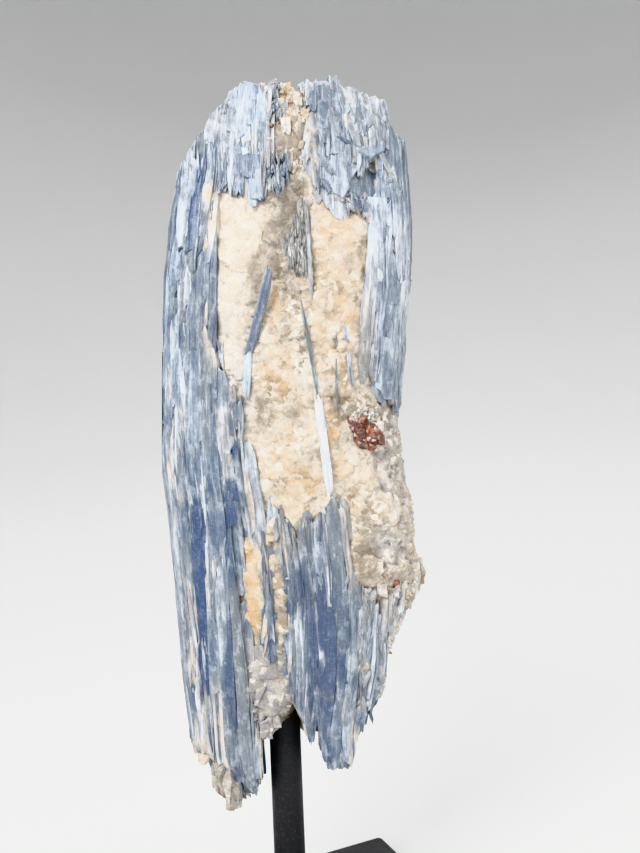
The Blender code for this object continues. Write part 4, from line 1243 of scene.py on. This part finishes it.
def shard_field(blades, field, count, lengths, widths, leans, prouds, tone):
    """Short broken plates scattered over a field of the best face."""
    rng = blades.rng
    across, up = np.array(field).T
    made = 0
    while made < count:
        u, w = rng.uniform(across.min(), across.max()), rng.uniform(up.min(), up.max())
        if not inside(field, u, w) or edge_distance(HOLLOW, u, w) < 1.5 or inside(HOLLOW, u, w):
            continue
        made += 1
        length, lean = rng.uniform(*lengths), math.radians(rng.uniform(*leans))
        du, dw = math.sin(lean) * length / 2, math.cos(lean) * length / 2
        own = np.array(tone) + rng.normal(0, 1, 3) * SHARD_SCATTER
        face_blade(
            blades, u + du, w + dw, u - du, w - dw, rng.uniform(*widths), rng.uniform(*prouds),
            np.maximum(own, (-0.1, 0, 0)), rng.normal(0, 0.28), rng.uniform(0.5, 1.1),
        )


def inner_blades(blades, count):
    """Broken blades that fill the ragged top and the two feet."""
    rng = blades.rng
    made = 0
    while made < count:
        turn, share = rng.uniform(0, 2 * math.pi), 0.1 + 0.84 * math.sqrt(rng.uniform())
        solid = inside(OUTLINE, *as_seen(section(np.full(HEIGHTS.shape, turn), HEIGHTS, share)))
        if not solid.any():
            continue
        low, high = HEIGHTS[solid][0], HEIGHTS[solid][-1]
        if rng.uniform() < 0.5:
            end = high - rng.exponential(2.2)
            start = max(min(end - rng.uniform(*INNER_LENGTHS), TOP_FLOOR), low)
        else:
            start = low + rng.exponential(2.0)
            end = min(max(start + rng.uniform(*INNER_LENGTHS), FEET_ROOF), high)
        if end - start < SHORTEST_INNER:
            continue
        path = section(np.full(PATH_POINTS, turn), np.linspace(start, end, PATH_POINTS), share)
        facing = np.array([rng.uniform(-1, 1), rng.uniform(-1, 1) + 0.01, 0.0])
        blades.add(path, facing, drawn(rng, INNER_SHAPE), plain_tone(turn, rng))
        made += 1


class KyaniteBlades(bpy.types.Operator):
    """Grow the kyanite blades round the quartz"""

    bl_idname = "kyanite.blades"
    bl_label = "Kyanite Blades"

    def execute(self, context):
        sizes = context.scene.kyanite_blades
        material = kyanite_material(sizes)
        width, longest = sizes.blade_width / MM, sizes.longest / MM

        def draws(number):
            """A layer's own random draws."""
            return np.random.default_rng(sizes.seed + number)

        under = Blades(draws(0), stations=16, levels=7, overlap=UNDER_QUARTZ)
        flow_layer(
            under, widths=(width * 1.6, width * 2.8), longest=longest, sinks=(0.8, 1.3), thickness=2.0
        )
        under.grow("kyanite_under_blades", material)
        inner = Blades(draws(6), stations=10, levels=5, overlap=UNDER_QUARTZ)
        inner_blades(inner, sizes.inner)
        inner.grow("kyanite_inner_blades", material)
        outer = Blades(draws(1), stations=16, levels=7, stray=0.5, plates=True)
        flow_layer(
            outer, widths=(width * 0.5, width * 1.6), longest=longest * 0.8, sinks=(0.0, 0.36), thickness=1.7
        )
        outer.grow("kyanite_outer_blades", material)
        patches = Blades(draws(2), stations=14, levels=6, stray=0.9, plates=True)
        flow_patches(
            patches, sizes.patches, lengths=(4, 22), widths=(1.0, 3.6), sinks=(-0.42, 0.02), thickness=0.9,
            twist=0.16,
        )
        patches.grow("kyanite_patches", material)
        slivers = Blades(draws(3), stations=8, levels=3, stray=1.4)
        flow_patches(
            slivers, sizes.slivers, lengths=(3, 18), widths=(0.3, 1.1), sinks=(-0.62, -0.1), thickness=0.6,
            twist=0.3, highest=212.0,
        )
        slivers.grow("kyanite_slivers", material)
        face = Blades(draws(4), stations=14, levels=6, overlap=None, streaked=False)
        for *place_and_size, blue, cream, grey in FACE_BLADES:
            tone = np.array([blue, cream, grey])
            face_blade(face, *place_and_size, tone, face.rng.normal(0, 0.1))
        for field in SHARDS:
            shard_field(face, *field)
        face.grow("kyanite_face_blades", material)
        kyanite_plates(material, draws(5))
        return {"FINISHED"}


# ---- quartz ------------------------------------------------------------------------------
QUARTZ_LOW = 62.0
QUARTZ_HIGH = 222.0
FRONT_SHARE = 0.68  # of the columns lie on the best face
UNDER_SHARE, SHOWN_SHARE = 0.925, 0.97  # of the flow's reach, under the blades and where it shows
UNDER_BLADES = 2.5  # how far the best face's quartz reaches under the blades behind
TOP_TAPER, FOOT_TAPER = 0.55, 0.5  # shares by which the quartz narrows at its ends
TOP_FROM, FOOT_TO = 206, QUARTZ_LOW + 8  # it keeps its width between these heights
SHOWN_FADE, PIT_FADE = (3.0, 0.8), (0.6, 0.0)  # distances over which the quartz and the hollow begin
CRACK_LIFTS = (-0.45, -1.1)  # how low the surface lies where a crack begins and where it is full
PULL_STEP = 0.02  # share of the reach by which it is pulled in, step by step
GRAINS = ((2.0, 0.24), (0.8, 0.32))  # coarse and fine: share of the usual size, slope of the faces
CRACK_PAINTED_SHADE = 0.3  # how far the low places between grains turn towards the darker clear colour: painted shade in the cracks
BACK_TINT = (0.3, 0.3, 0.05, 1.0)
BASE_TINT, BASE_WEIGHT = (0.3, 0.15, 0.02, 0.9), 0.12
LUMP_PLANES, CUT_DEPTHS = 12, (0.6, 0.95)  # cuts that shape a lump; their distances from its middle
LUMP_REACH, LUMP_SMALLER, LUMP_SUNK = 0.7, 0.6, 0.75  # shares of a lump's radius
LUMP_ROUGHNESS, LUMP_SCATTER = 0.7, (0.12, 0.15, 0.04, 0.2)
GARNET_SHAPE = (1.05, 0.9, 1.05)  # of a garnet's radius
# Tints: across, up, half width, half height, warm, clear, blue stain, roughness of the grain.
TINTS = [
    (-5.6, 191.7, 4.6, 10.3, 0.1, 0, 0, 0.3), (-9.1, 173.8, 3.4, 11.6, 0, 0, 0, 0.3),
    (-9.7, 160.9, 3.1, 7.7, 0.02, 0.06, 0.12, 0.5), (-8.5, 150.5, 2.6, 5.7, 0, 0.1, 0.35, 0.8),
    (6.8, 197.7, 3.1, 6.5, 0.4, 0.8, 0, 0.35), (2.9, 190.6, 3.1, 5.7, 0.3, 0.9, 0, 0.35),
    (-1.1, 182, 2.8, 5.7, 0.2, 0.18, 0, 0.4), (-4.6, 171, 2.1, 6.5, 0.12, 0.14, 0.06, 0.8),
    (-6, 163.4, 1.8, 5.2, 0.05, 0.16, 0.15, 0.9), (10.1, 196, 1.5, 1.8, 0.6, 1.1, 0, 0.6),
    (9, 188.6, 2.8, 6.2, 0, 0.45, 0.6, 0.6), (6, 178.9, 3.1, 3.1, 0.3, 0.6, 0.1, 1.1),
    (1.9, 172.1, 1.3, 3.9, 1, 0, 0, 0.5), (4.7, 172, 1.8, 3.1, 0.5, 0.6, 0, 1),
    (3.7, 164.8, 2.3, 2.6, 0.4, 0.75, 0, 0.8), (7.9, 161.5, 2.3, 10.3, 0.15, 0.2, 0.05, 1),
    (2, 156.6, 3.1, 3.1, 0.35, 0, 0, 0.9), (2.5, 149.3, 3.1, 3.1, 0.7, 0, 0, 1),
    (-2.7, 141.8, 2.1, 3.6, 0.2, 0.75, 0, 0.6), (3, 143.1, 2.3, 2.6, 0.5, 0.1, 0, 0.8),
    (2.9, 133.3, 7.2, 3.6, 0.3, 0, 0, 0.9), (6.4, 124.9, 5.2, 3.1, 0.75, 0.2, 0, 0.7),
    (-1.9, 123.2, 3.1, 4.1, 0.25, 0.05, 0, 0.7), (5.3, 116.4, 2.6, 5.2, 0.5, 0, 0, 0.3),
    (-0.8, 105.1, 1.5, 15.5, 0.45, 0.3, 0, 0.7), (0.4, 83.1, 1.8, 7.7, 0.3, 0.6, 0, 0.7),
    (-7, 97.6, 1.3, 10.3, 1.15, 0, 0, 0.3), (-5.5, 71.7, 5.2, 7.7, 0, 1.2, 0.4, 0.7),
    (19.3, 186.9, 7.2, 10.3, 0.42, 0.14, 0, 0.7), (19.1, 168.8, 6.2, 10.3, 0.46, 0.12, 0, 0.8),
    (25.1, 191.3, 2.6, 2.6, 0.3, 0, 0, 0.3), (16.8, 190.8, 3.1, 1.5, 0.9, 0.15, 0, 0.5),
    (23.7, 181, 2.6, 3.1, 0.35, 0.35, 0, 0.5), (20.8, 159.7, 3.6, 6.5, 0.55, 0.1, 0, 0.8),
    (24.6, 158.3, 2.1, 5.2, 0.25, 0.05, 0.1, 0.6), (9.7, 140.8, 2.1, 10.3, 0.3, 0.05, 0, 0.9),
    (15.7, 136.4, 1.8, 5.7, 0.95, 0.1, 0, 0.8), (18.9, 145.6, 3.1, 3.6, 0.35, 0.35, 0, 1.1),
    (24, 143.3, 3.6, 2.3, 0, 0.4, 0.05, 1.4), (18.2, 134, 2.3, 3.6, 0.55, 0.15, 0, 0.8),
    (20.7, 127.4, 4.6, 3.6, 0.3, 0, 0, 1), (31.1, 127, 2.6, 10.3, 0.1, 0.45, 0.3, 1),
    (28.8, 134.8, 2.1, 3.6, 0, 0.3, 0.2, 1.1), (19.2, 119.7, 3.1, 3.6, 0.35, 0.1, 0, 1),
    (24.7, 116.4, 2.3, 3.1, 0.25, 0.7, 0, 1), (30.5, 114.1, 3.1, 5.7, 0.15, 0.1, 0.1, 1),
    (22.9, 102.8, 2.3, 3.6, 0.3, 0.85, 0, 0.9), (28.5, 107.7, 3.1, 4.1, 0.05, 0.4, 0.4, 1.1),
    (31.7, 97.3, 3.6, 4.1, 0.35, 0.2, 0.1, 1.3), (8.6, 224, 3.6, 2.1, 0.8, 0, 0, 0.5),
    (7.8, 216.3, 3.1, 5.7, 0.5, 1.1, 0, 0.5), (4.3, 206.8, 3.4, 5.2, 0.1, 0.45, 0.4, 1.2),
    (3.3, 226.2, 1.8, 2.1, 0, 0.7, 0.2, 1), (10.5, 200.1, 1.5, 3.6, 0.3, 0.1, 0, 0.5),
    (12.6, 200.1, 1, 5.7, 0.45, 0, 0, 0.3), (8.6, 208.6, 2.6, 4.6, 0.45, 1.1, 0, 0.5),
]
# Broken lumps: across, up, half width, half height, how many, smallest and largest radius, tallness,
# proud, warm, clear, blue stain.
LUMPS = [
    (-15.9, 48, 0.3, 0.4, 2, 4.2, 4.5, 1.35, 1.1, 0, 0.75, 0.1),
    (-17.3, 50, 0.6, 1, 3, 2.4, 3, 1.9, 1, 0, 0.95, 0.1),
    (-14.3, 47.5, 0.5, 1.4, 3, 2, 2.6, 2, 1.2, 0, 0.6, 0.1),
    (-14, 44, 0.6, 0.8, 3, 2, 2.6, 1.3, 0.9, 0, 0.6, 0.1),
    (-21.2, 61, 1.6, 6, 5, 1.4, 2.2, 1.8, 0.3, 0.3, 0.35, 0),
    (-3.5, 62.5, 2.4, 2.5, 9, 1.5, 2.6, 1.3, 0.2, 0.05, 1.3, 0.35),
    (-6, 72, 2.4, 8, 6, 1.2, 2, 2.2, 0.2, 0.05, 1.3, 0.35),
    (0, 73, 1, 5, 4, 1, 1.6, 2.2, 0.2, 0.1, 1.2, 0.3),
    (36, 99.5, 1.4, 3, 14, 0.8, 2, 1.2, 0.3, 0.35, 0.25, 0.1),
    (33.5, 94.5, 1.4, 3, 16, 0.7, 1.8, 1.2, 0.3, 0.35, 0.25, 0.1),
    (30.6, 88, 1, 3.5, 16, 0.6, 1.5, 1.2, 0.3, 0.4, 0.25, 0.2),
    (28, 80, 0.9, 4, 16, 0.5, 1.2, 1.3, 0.3, 0.25, 0.35, 0.4),
    (25.4, 72, 0.8, 3.5, 10, 0.5, 1.1, 1.3, 0.3, 0.2, 0.35, 0.4),
    (20.8, 72, 1, 5, 8, 0.6, 1.4, 1.5, 0.3, 0.45, 0.45, 0),
    (16, 198.2, 4.5, 1.6, 14, 0.6, 1.2, 1.2, 0.2, 0.1, 0.3, 0.5),
    (28, 95.5, 5.5, 1.2, 14, 0.6, 1.7, 1.1, 0.8, 0.1, 0.35, 0.3),
    (24.5, 141.5, 3.2, 1.6, 26, 0.4, 1.1, 1, 0.1, 0, 0.3, 0.05),
    (27.6, 138.5, 1.4, 1.8, 10, 0.4, 1, 1, 0.1, 0, 0.1, 0),
    (28, 138.4, 0.1, 0.1, 1, 1.2, 1.3, 1.3, 1.2, 0, 0, 0),
    (6.6, 226.2, 0.7, 0.6, 7, 1, 1.5, 1.1, 0.2, 0.4, 0.05, 0),
    (8.6, 224.4, 0.7, 0.6, 7, 1.1, 1.6, 1.1, 0.3, 0.5, 0, 0),
    (10.3, 222.2, 0.6, 0.7, 7, 1.1, 1.5, 1.2, 0.4, 0.6, 0, 0),
    (11.6, 219.2, 0.4, 1, 7, 0.9, 1.3, 1.3, 0.4, 0.6, 0.05, 0),
    (6, 220.6, 1, 2.2, 9, 0.9, 1.5, 1.3, 0.1, 0.15, 0.7, 0.2),
    (8.6, 216, 2.2, 3, 10, 1, 1.6, 1.3, -0.1, 0.45, 0.9, 0),
    (6.6, 216.6, 0.3, 0.9, 2, 1.2, 1.5, 1.5, 0.5, 0.2, 0.1, 0),
    (8.8, 209, 1.6, 3.2, 9, 0.9, 1.5, 1.5, -0.2, 0.35, 0.9, 0),
    (3, 227, 2.6, 1, 10, 0.7, 1.5, 1.3, 0.1, 0, 0.75, 0.3),
]


class Grain:
    """Broken grains: each point takes the highest face of the grains nearest to it."""

    NEAR, FACES = 4, 4
    COVER = 30000  # grains of 1 mm that cover the specimen

    def __init__(self, size, slope, rng):
        count = int(self.COVER / size**2)
        turns, heights = rng.uniform(0, 2 * math.pi, count), rng.uniform(40, 230, count)
        self.seeds = section(turns, heights, rng.uniform(0.9, 1.0, count)) + rng.normal(0, 0.3, (count, 3))
        self.slopes = rng.normal(0, slope, (count, self.FACES, 3))
        self.lifts = rng.normal(0, slope * size * 0.18, count)
        self.tree = kdtree.KDTree(count)
        for i, seed in enumerate(self.seeds):
            self.tree.insert(seed, i)
        self.tree.balance()

    def read(self, points):
        """How far the grains stand out at each point."""
        points = points + 0.3 * np.sin(points[:, (2, 0, 1)] * 2.1 + 1.3 * np.sin(points[:, (1, 2, 0)] * 0.9))
        near = np.array([[found[1] for found in self.tree.find_n(point, self.NEAR)] for point in points])
        away = points[:, None] - self.seeds[near]
        falls = (away[:, :, None] * self.slopes[near]).sum(axis=-1).max(axis=-1)
        return (self.lifts[near] - falls).max(axis=1)


def tints_at(across, up):
    """(warm, clear, stain, roughness) of the quartz, blended from the tints."""
    total = np.full(np.shape(across), BASE_WEIGHT)
    blend = np.array(BASE_TINT) * total[..., None]
    for x, z, half_width, half_height, *tint in TINTS:
        reach = np.exp(-(((across - x) / half_width) ** 2 + ((up - z) / half_height) ** 2))
        total = total + reach
        blend = blend + reach[..., None] * np.array(tint)
    return blend / total[..., None]


def front_loaded(around):
    """Turns round the section, most of them on the best face."""
    back_low, back_high = 0.5 - FRONT_SHARE / 2, 0.5 + FRONT_SHARE / 2
    front = math.pi * (1 + (around - back_low) / FRONT_SHARE)
    behind = np.where(around > back_high, around - back_high, around + 1 - back_high)
    back = math.pi * behind / (1 - FRONT_SHARE)
    return np.where((around >= back_low) & (around <= back_high), front, back)


def outside_quartz(u, w):
    """How far places lie outside the quartz that shows; less than 0 within it."""
    away = np.full(np.shape(u), np.inf)
    for polygon in [QUARTZ_WINDOW, *QUARTZ_SPOTS]:
        away = np.minimum(away, edge_distance(polygon, u, w) * np.where(inside(polygon, u, w), -1, 1))
    return away


def quartz_column(sizes):
    """A column of radius 1 from -1 to 1, with small faces round it and up it."""
    bm = bmesh.new()
    bmesh.ops.create_cone(
        bm, cap_ends=True, cap_tris=True, segments=sizes.columns, radius1=1.0, radius2=1.0, depth=2.0,
    )
    upright = [e for e in bm.edges if abs(e.verts[0].co.z - e.verts[1].co.z) > 1]
    bmesh.ops.subdivide_edges(bm, edges=upright, cuts=sizes.rings, use_grid_fill=True)
    return mesh_from(bm, "quartz_matrix")


def pulled_in(share, turn, height):
    """Shares of the section's reach, made smaller where they would leave the outline."""
    outside = np.flatnonzero(~inside(OUTLINE, *as_seen(section(turn, height, share))))
    while len(outside):
        share[outside] -= PULL_STEP
        fits = inside(OUTLINE, *as_seen(section(turn[outside], height[outside], share[outside])))
        outside = outside[~fits & (share[outside] > 2 * PULL_STEP)]
    return share


def quartz_body(sizes, coarse, fine, material):
    """The quartz that the blades grow in, up from the fork between the two feet."""
    mesh = quartz_column(sizes)
    unit = get_points(mesh)
    middle = np.hypot(unit[:, 0], unit[:, 1]) < 0.5
    turn = front_loaded((np.arctan2(unit[:, 1], unit[:, 0]) / (2 * math.pi)) % 1.0)
    height = QUARTZ_LOW + (unit[:, 2] + 1) / 2 * (QUARTZ_HIGH - QUARTZ_LOW)
    surface = section(turn, height)
    u, w = as_seen(surface)
    on_front = in_front(surface[:, 1] - UNDER_BLADES, w)
    shown = smooth(*SHOWN_FADE, outside_quartz(u, w)) * on_front
    share = UNDER_SHARE + (SHOWN_SHARE - UNDER_SHARE) * shown
    share = share * (1 - TOP_TAPER * smooth(TOP_FROM, QUARTZ_HIGH, height) * (1 - shown))
    share = share * (1 - FOOT_TAPER * smooth(FOOT_TO, QUARTZ_LOW, height))
    share = pulled_in(share, turn, height)
    share[middle] = 0.02
    points = section(turn, height, share)
    lift = coarse.read(points) + fine.read(points)
    tints = tints_at(u, w)
    tints[~on_front] = BACK_TINT
    # the slanted step's tint, partly painted shade
    tints = blended(tints, SLOPE_TINT_AND_SHADE, smooth(*SLOPE_FADE, w) * on_slope(u, w) * on_front)
    # Painted shade: the low places between the grains turn towards the darker clear colour.
    tints[:, 1] += CRACK_PAINTED_SHADE * smooth(*CRACK_LIFTS, lift) * tints[:, 3]
    pit = smooth(*PIT_FADE, edge_distance(HOLLOW, u, w) * ~inside(HOLLOW, u, w)) * on_front
    tints = blended(tints, HOLLOW_TINT, pit)
    rise = relief(u, w) * np.maximum(shown, pit) + lift * np.where(shown > 0.5, tints[:, 3], 0.8)
    points = points + outward(turn, height) * (rise * ~middle)[:, None]
    set_points(mesh, points)
    crease(mesh, CREASE)
    paint(mesh, "quartz", tints)
    place_cluster_piece(mesh_object("quartz_matrix", mesh, material))


def cut_lump(planes, rng):
    """A lump about as big as a ball of radius 1, cut flat on all sides."""
    lump = bmesh.new()
    bmesh.ops.create_cube(lump, size=2.0)
    sides = unit_rows(rng.normal(0, 1, (planes, 3)))
    for side, depth in zip(sides, rng.uniform(*CUT_DEPTHS, planes)):
        cut = bmesh.ops.bisect_plane(
            lump, geom=lump.verts[:] + lump.edges[:] + lump.faces[:], plane_co=side * depth,
            plane_no=side, clear_outer=True,
        )["geom_cut"]
        rim = [part for part in cut if isinstance(part, bmesh.types.BMEdge)]
        if rim:
            bmesh.ops.contextual_create(lump, geom=rim)
    bmesh.ops.recalc_face_normals(lump, faces=lump.faces[:])
    return lump


def add_lump(bm, centre, radii, rng):
    """Adds a cut lump to a mesh; returns how many vertices it has."""
    lump = cut_lump(LUMP_PLANES, rng)
    for vertex in lump.verts:
        vertex.co = (centre + np.array(vertex.co) * radii) * MM
    mesh = mesh_from(lump, "lump")
    bm.from_mesh(mesh)
    count = len(mesh.vertices)
    bpy.data.meshes.remove(mesh)
    return count


def quartz_lumps(material, rng):
    """The broken lumps of quartz between the blades, joined in one piece."""
    bm = bmesh.new()
    tints = []
    for u, w, half_width, half_height, count, low, high, tall, proud, *tint in LUMPS:
        made = 0
        while made < count:
            across, up = u + rng.uniform(-1, 1) * half_width, w + rng.uniform(-1, 1) * half_height
            radius = rng.uniform(low, high)
            corners = (
                across + np.array([-1, 0, 1, 0]) * radius * LUMP_REACH,
                up + np.array([0, 1.2, 0, -1.2]) * radius * LUMP_REACH,
            )
            if not inside(OUTLINE, *corners).all():
                radius *= LUMP_SMALLER
                if not inside(OUTLINE, across, up):
                    continue
            proud_by = proud + rng.uniform(-0.4, 0.2) - radius * LUMP_SUNK
            centre = on_face(np.float64(across), np.float64(up), proud_by)
            radii = np.array([0.85, 0.9, tall * rng.uniform(0.8, 1.2)]) * radius
            size = add_lump(bm, centre, radii, rng)
            own = np.array([*tint, LUMP_ROUGHNESS]) + rng.normal(0, 1, 4) * LUMP_SCATTER
            tints.append(np.broadcast_to(own, (size, 4)))
            made += 1
    mesh = mesh_from(bm, "quartz_lumps")
    paint(mesh, "quartz", np.maximum(np.concatenate(tints), 0))
    place_cluster_piece(mesh_object("quartz_lumps", mesh, material))


class QuartzMatrix(bpy.types.Operator):
    """Form the granular quartz between and under the blades"""

    bl_idname = "kyanite.quartz"
    bl_label = "Quartz Matrix"

    def execute(self, context):
        sizes = context.scene.kyanite_quartz
        rng = np.random.default_rng(sizes.seed)
        material = quartz_material(sizes)
        coarse, fine = (Grain(sizes.grain / MM * share, slope, rng) for share, slope in GRAINS)
        quartz_body(sizes, coarse, fine, material)
        quartz_lumps(material, rng)
        return {"FINISHED"}


GARNETS = [  # across, up, radius
    (20.8, 139.9, 1.3), (22.4, 138.9, 1.9), (22.4, 136.2, 1.7), (23.6, 134.4, 1.5), (24.6, 137.6, 2.0),
    (26.4, 136.4, 1.7), (27.3, 134.9, 1.3), (25.2, 133.6, 1.3), (24.4, 135.8, 1.9), (2.9, 216.7, 0.9),
    (2.0, 218.0, 0.6), (28.5, 107.7, 0.5), (30.4, 98.1, 0.8),
]


class GarnetCrystals(bpy.types.Operator):
    """Set the red-brown garnet in the quartz"""

    bl_idname = "kyanite.garnets"
    bl_label = "Garnet"

    def execute(self, context):
        sizes = context.scene.kyanite_quartz
        rng = np.random.default_rng(sizes.seed + 5)
        bm = bmesh.new()
        for across, up, radius in GARNETS:
            centre = on_face(np.float64(across), np.float64(up), -0.2 * radius - 0.3)
            add_lump(bm, centre, np.array(GARNET_SHAPE) * radius, rng)
        mesh = mesh_from(bm, "garnet_crystals")
        place_cluster_piece(mesh_object("garnet_crystals", mesh, garnet_material(sizes)))
        return {"FINISHED"}


# ---- stand -------------------------------------------------------------------------------
BASE_LENGTH, BASE_WIDTH, BASE_THICKNESS = 90 * MM, 70 * MM, 6 * MM
BASE_TURN = math.radians(24.6)
BASE_CORNER = 1.5 * MM
ROD_SIDES = 96
ROD_RIM = 0.4 * MM
STEEL_CREASE = 35  # degrees
ROD_SPECKS, PLATE_SPECKS = 0.45, 0.25  # strength of the dusty specks


class RodStand(bpy.types.Operator):
    """Turn the rod and cut the plate that hold the specimen"""

    bl_idname = "kyanite.stand"
    bl_label = "Rod Stand"

    def execute(self, context):
        sizes = context.scene.kyanite_stand
        self.rod(sizes)
        self.base_plate(sizes)
        return {"FINISHED"}

    def rod(self, sizes):
        """A round bar with softened rims, as long as the solid's rod."""
        low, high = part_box("stand_rod")
        radius = (high[0] - low[0]) / 2
        bm = bmesh.new()
        bmesh.ops.create_cone(
            bm, cap_ends=True, segments=ROD_SIDES, radius1=radius, radius2=radius, depth=high[2] - low[2],
        )
        rims = [e for e in bm.edges if abs(e.verts[0].co.z - e.verts[1].co.z) < 1e-6]
        bevelled(bm, rims, ROD_RIM, 3)
        bmesh.ops.translate(bm, verts=bm.verts[:], vec=(0, 0, (low[2] + high[2]) / 2))
        self.finish(bm, "rod", "stand_rod", steel_material(sizes, "rod_steel", ROD_SPECKS))

    def base_plate(self, sizes):
        """A flat plate with rounded corners and edges, turned on the floor."""
        bm = bmesh.new()
        bmesh.ops.create_cube(bm, size=1.0)
        bmesh.ops.scale(bm, verts=bm.verts[:], vec=(BASE_LENGTH, BASE_WIDTH, BASE_THICKNESS))
        bmesh.ops.translate(bm, verts=bm.verts[:], vec=(0, 0, BASE_THICKNESS / 2))
        uprights = [e for e in bm.edges if abs(e.verts[0].co.z - e.verts[1].co.z) > BASE_THICKNESS / 2]
        bevelled(bm, uprights, BASE_CORNER, 8)
        faces = [f for f in bm.faces if abs(f.normal.z) > 0.9]
        bevelled(bm, list({e for f in faces for e in f.edges}), sizes.edge, 4)
        turn = Matrix.Rotation(BASE_TURN, 3, "Z")
        bmesh.ops.rotate(bm, verts=bm.verts[:], cent=(0, 0, 0), matrix=turn)
        self.finish(bm, "base_plate", "stand_base", steel_material(sizes, "plate_steel", PLATE_SPECKS))

    def finish(self, bm, name, node, material):
        """Sets a piece of the stand on the body in place of its solid."""
        mesh = mesh_from(bm, name)
        obj = mesh_object(name, mesh, material)
        crease(mesh, STEEL_CREASE)
        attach(obj, "root")
        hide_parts(node)


# ---- stage -------------------------------------------------------------------------------
LIGHTS = [  # name, place, size, share of the key light, share of the fill light
    ("key_light", (-0.50, -0.85, 0.80), 0.60, 1.0, 0.0),
    ("fill_light", (0.9, -0.7, 0.35), 0.9, 0.0, 1.0),
    ("top_light", (0.1, 0.05, 1.2), 0.8, 0.6, 0.0),
    ("back_light", (0.2, 0.7, 1.4), 0.9, 0.0, 1.6),
]
LIGHT_AIM = (0.0, 0.0, 0.13)
SWEEP_PROFILE = [
    (0, 0), (0.3, 0), (0.45, 0.004), (0.62, 0.02), (0.8, 0.052), (1, 0.11), (1.2, 0.2), (1.38, 0.32),
    (1.54, 0.48), (1.66, 0.68), (1.73, 0.92), (1.75, 1.2), (1.75, 2.4),
]
SWEEP_SIDES = 96
FLOOR_SHADE = 0.96  # of the floor's colour, in its faint clouds
SKY, SKY_STRENGTH = (0.92, 0.95, 1.0), 0.6


class StudioStage(bpy.types.Operator):
    """Set up the floor, the lights and the camera"""

    bl_idname = "kyanite.stage"
    bl_label = "Studio Stage"

    def execute(self, context):
        scene, sizes = context.scene, context.scene.kyanite_stage
        self.floor(sizes)
        for name, place, size, key_share, fill_share in LIGHTS:
            light = bpy.data.lights.new(name, "AREA")
            light.size = size
            light.energy = sizes.key * key_share + sizes.fill * fill_share
            obj = bpy.data.objects.new(name, light)
            obj.location = place
            aim = Vector(LIGHT_AIM) - Vector(place)
            obj.rotation_euler = aim.to_track_quat("-Z", "Y").to_euler()
            scene.collection.objects.link(obj)
        world = bpy.data.worlds.new("studio")
        world.use_nodes = True
        world.node_tree.nodes["Background"].inputs["Color"].default_value = (*SKY, 1.0)
        world.node_tree.nodes["Background"].inputs["Strength"].default_value = SKY_STRENGTH
        scene.world = world
        scene.view_settings.view_transform = "Khronos PBR Neutral"
        lens = bpy.data.cameras.new("camera")
        lens.lens = CAMERA_LENS
        lens.clip_start = 0.01
        camera = bpy.data.objects.new("camera", lens)
        camera.location = [value * MM for value in CAMERA_PLACE]
        camera.rotation_mode = "XYZ"
        camera.rotation_euler = (math.pi / 2, CAMERA_ROLL, 0)
        scene.collection.objects.link(camera)
        scene.camera = camera
        return {"FINISHED"}

    def floor(self, sizes):
        """A pale floor that curves up into a wall all round."""
        bm = bmesh.new()
        profile = [bm.verts.new((reach, 0, rise)) for reach, rise in SWEEP_PROFILE]
        edges = [bm.edges.new(pair) for pair in zip(profile, profile[1:])]
        bmesh.ops.spin(
            bm, geom=profile + edges, cent=(0, 0, 0), axis=(0, 0, 1), angle=2 * math.pi,
            steps=SWEEP_SIDES, use_merge=True,
        )
        bmesh.ops.remove_doubles(bm, verts=bm.verts[:], dist=1e-5)
        bmesh.ops.recalc_face_normals(bm, faces=bm.faces[:])
        mesh = mesh_from(bm, "floor")
        made = Shading("floor")
        cloud = made.noise(made.place(), 3.0, 2.0)
        shade = [value * FLOOR_SHADE for value in sizes.floor]
        colour = made.mixed(cloud, sizes.floor, shade)
        obj = mesh_object("floor", mesh, made.finish({"Base Color": colour, "Roughness": 0.8}))
        mesh.shade_smooth()


class KyanitePanel(bpy.types.Panel):
    """Lists the pieces of the specimen and its stand"""

    bl_idname = "VIEW3D_PT_kyanite"
    bl_label = "Kyanite Blade Cluster"
    bl_space_type = "VIEW_3D"
    bl_region_type = "UI"
    bl_category = "Kyanite"

    def draw(self, context):
        for settings, operators in GROUPS.items():
            box = self.layout.box()
            group = getattr(context.scene, settings)
            for name in group.__annotations__:
                box.prop(group, name)
            for operator in operators:
                box.operator(operator.bl_idname)


GROUPS = {
    "kyanite_quartz": (QuartzMatrix, GarnetCrystals),
    "kyanite_blades": (KyaniteBlades,),
    "kyanite_stand": (RodStand,),
    "kyanite_stage": (StudioStage,),
}
PROPERTIES = {
    "kyanite_quartz": QuartzProperties,
    "kyanite_blades": KyaniteProperties,
    "kyanite_stand": StandProperties,
    "kyanite_stage": StageProperties,
}
CLASSES = (
    *PROPERTIES.values(), QuartzMatrix, GarnetCrystals, KyaniteBlades, RodStand, StudioStage, KyanitePanel,
)


def register():
    """Adds the operators, the panel and their settings."""
    for kind in CLASSES:
        bpy.utils.register_class(kind)
    for name, group in PROPERTIES.items():
        setattr(bpy.types.Scene, name, PointerProperty(type=group))


def unregister():
    """Takes them away again."""
    for name in PROPERTIES:
        delattr(bpy.types.Scene, name)
    for kind in reversed(CLASSES):
        bpy.utils.unregister_class(kind)


def main():
    """Builds every piece."""
    register()
    bpy.ops.kyanite.quartz()
    bpy.ops.kyanite.garnets()
    bpy.ops.kyanite.blades()
    bpy.ops.kyanite.stand()
    bpy.ops.kyanite.stage()


if __name__ == "__main__":
    main()
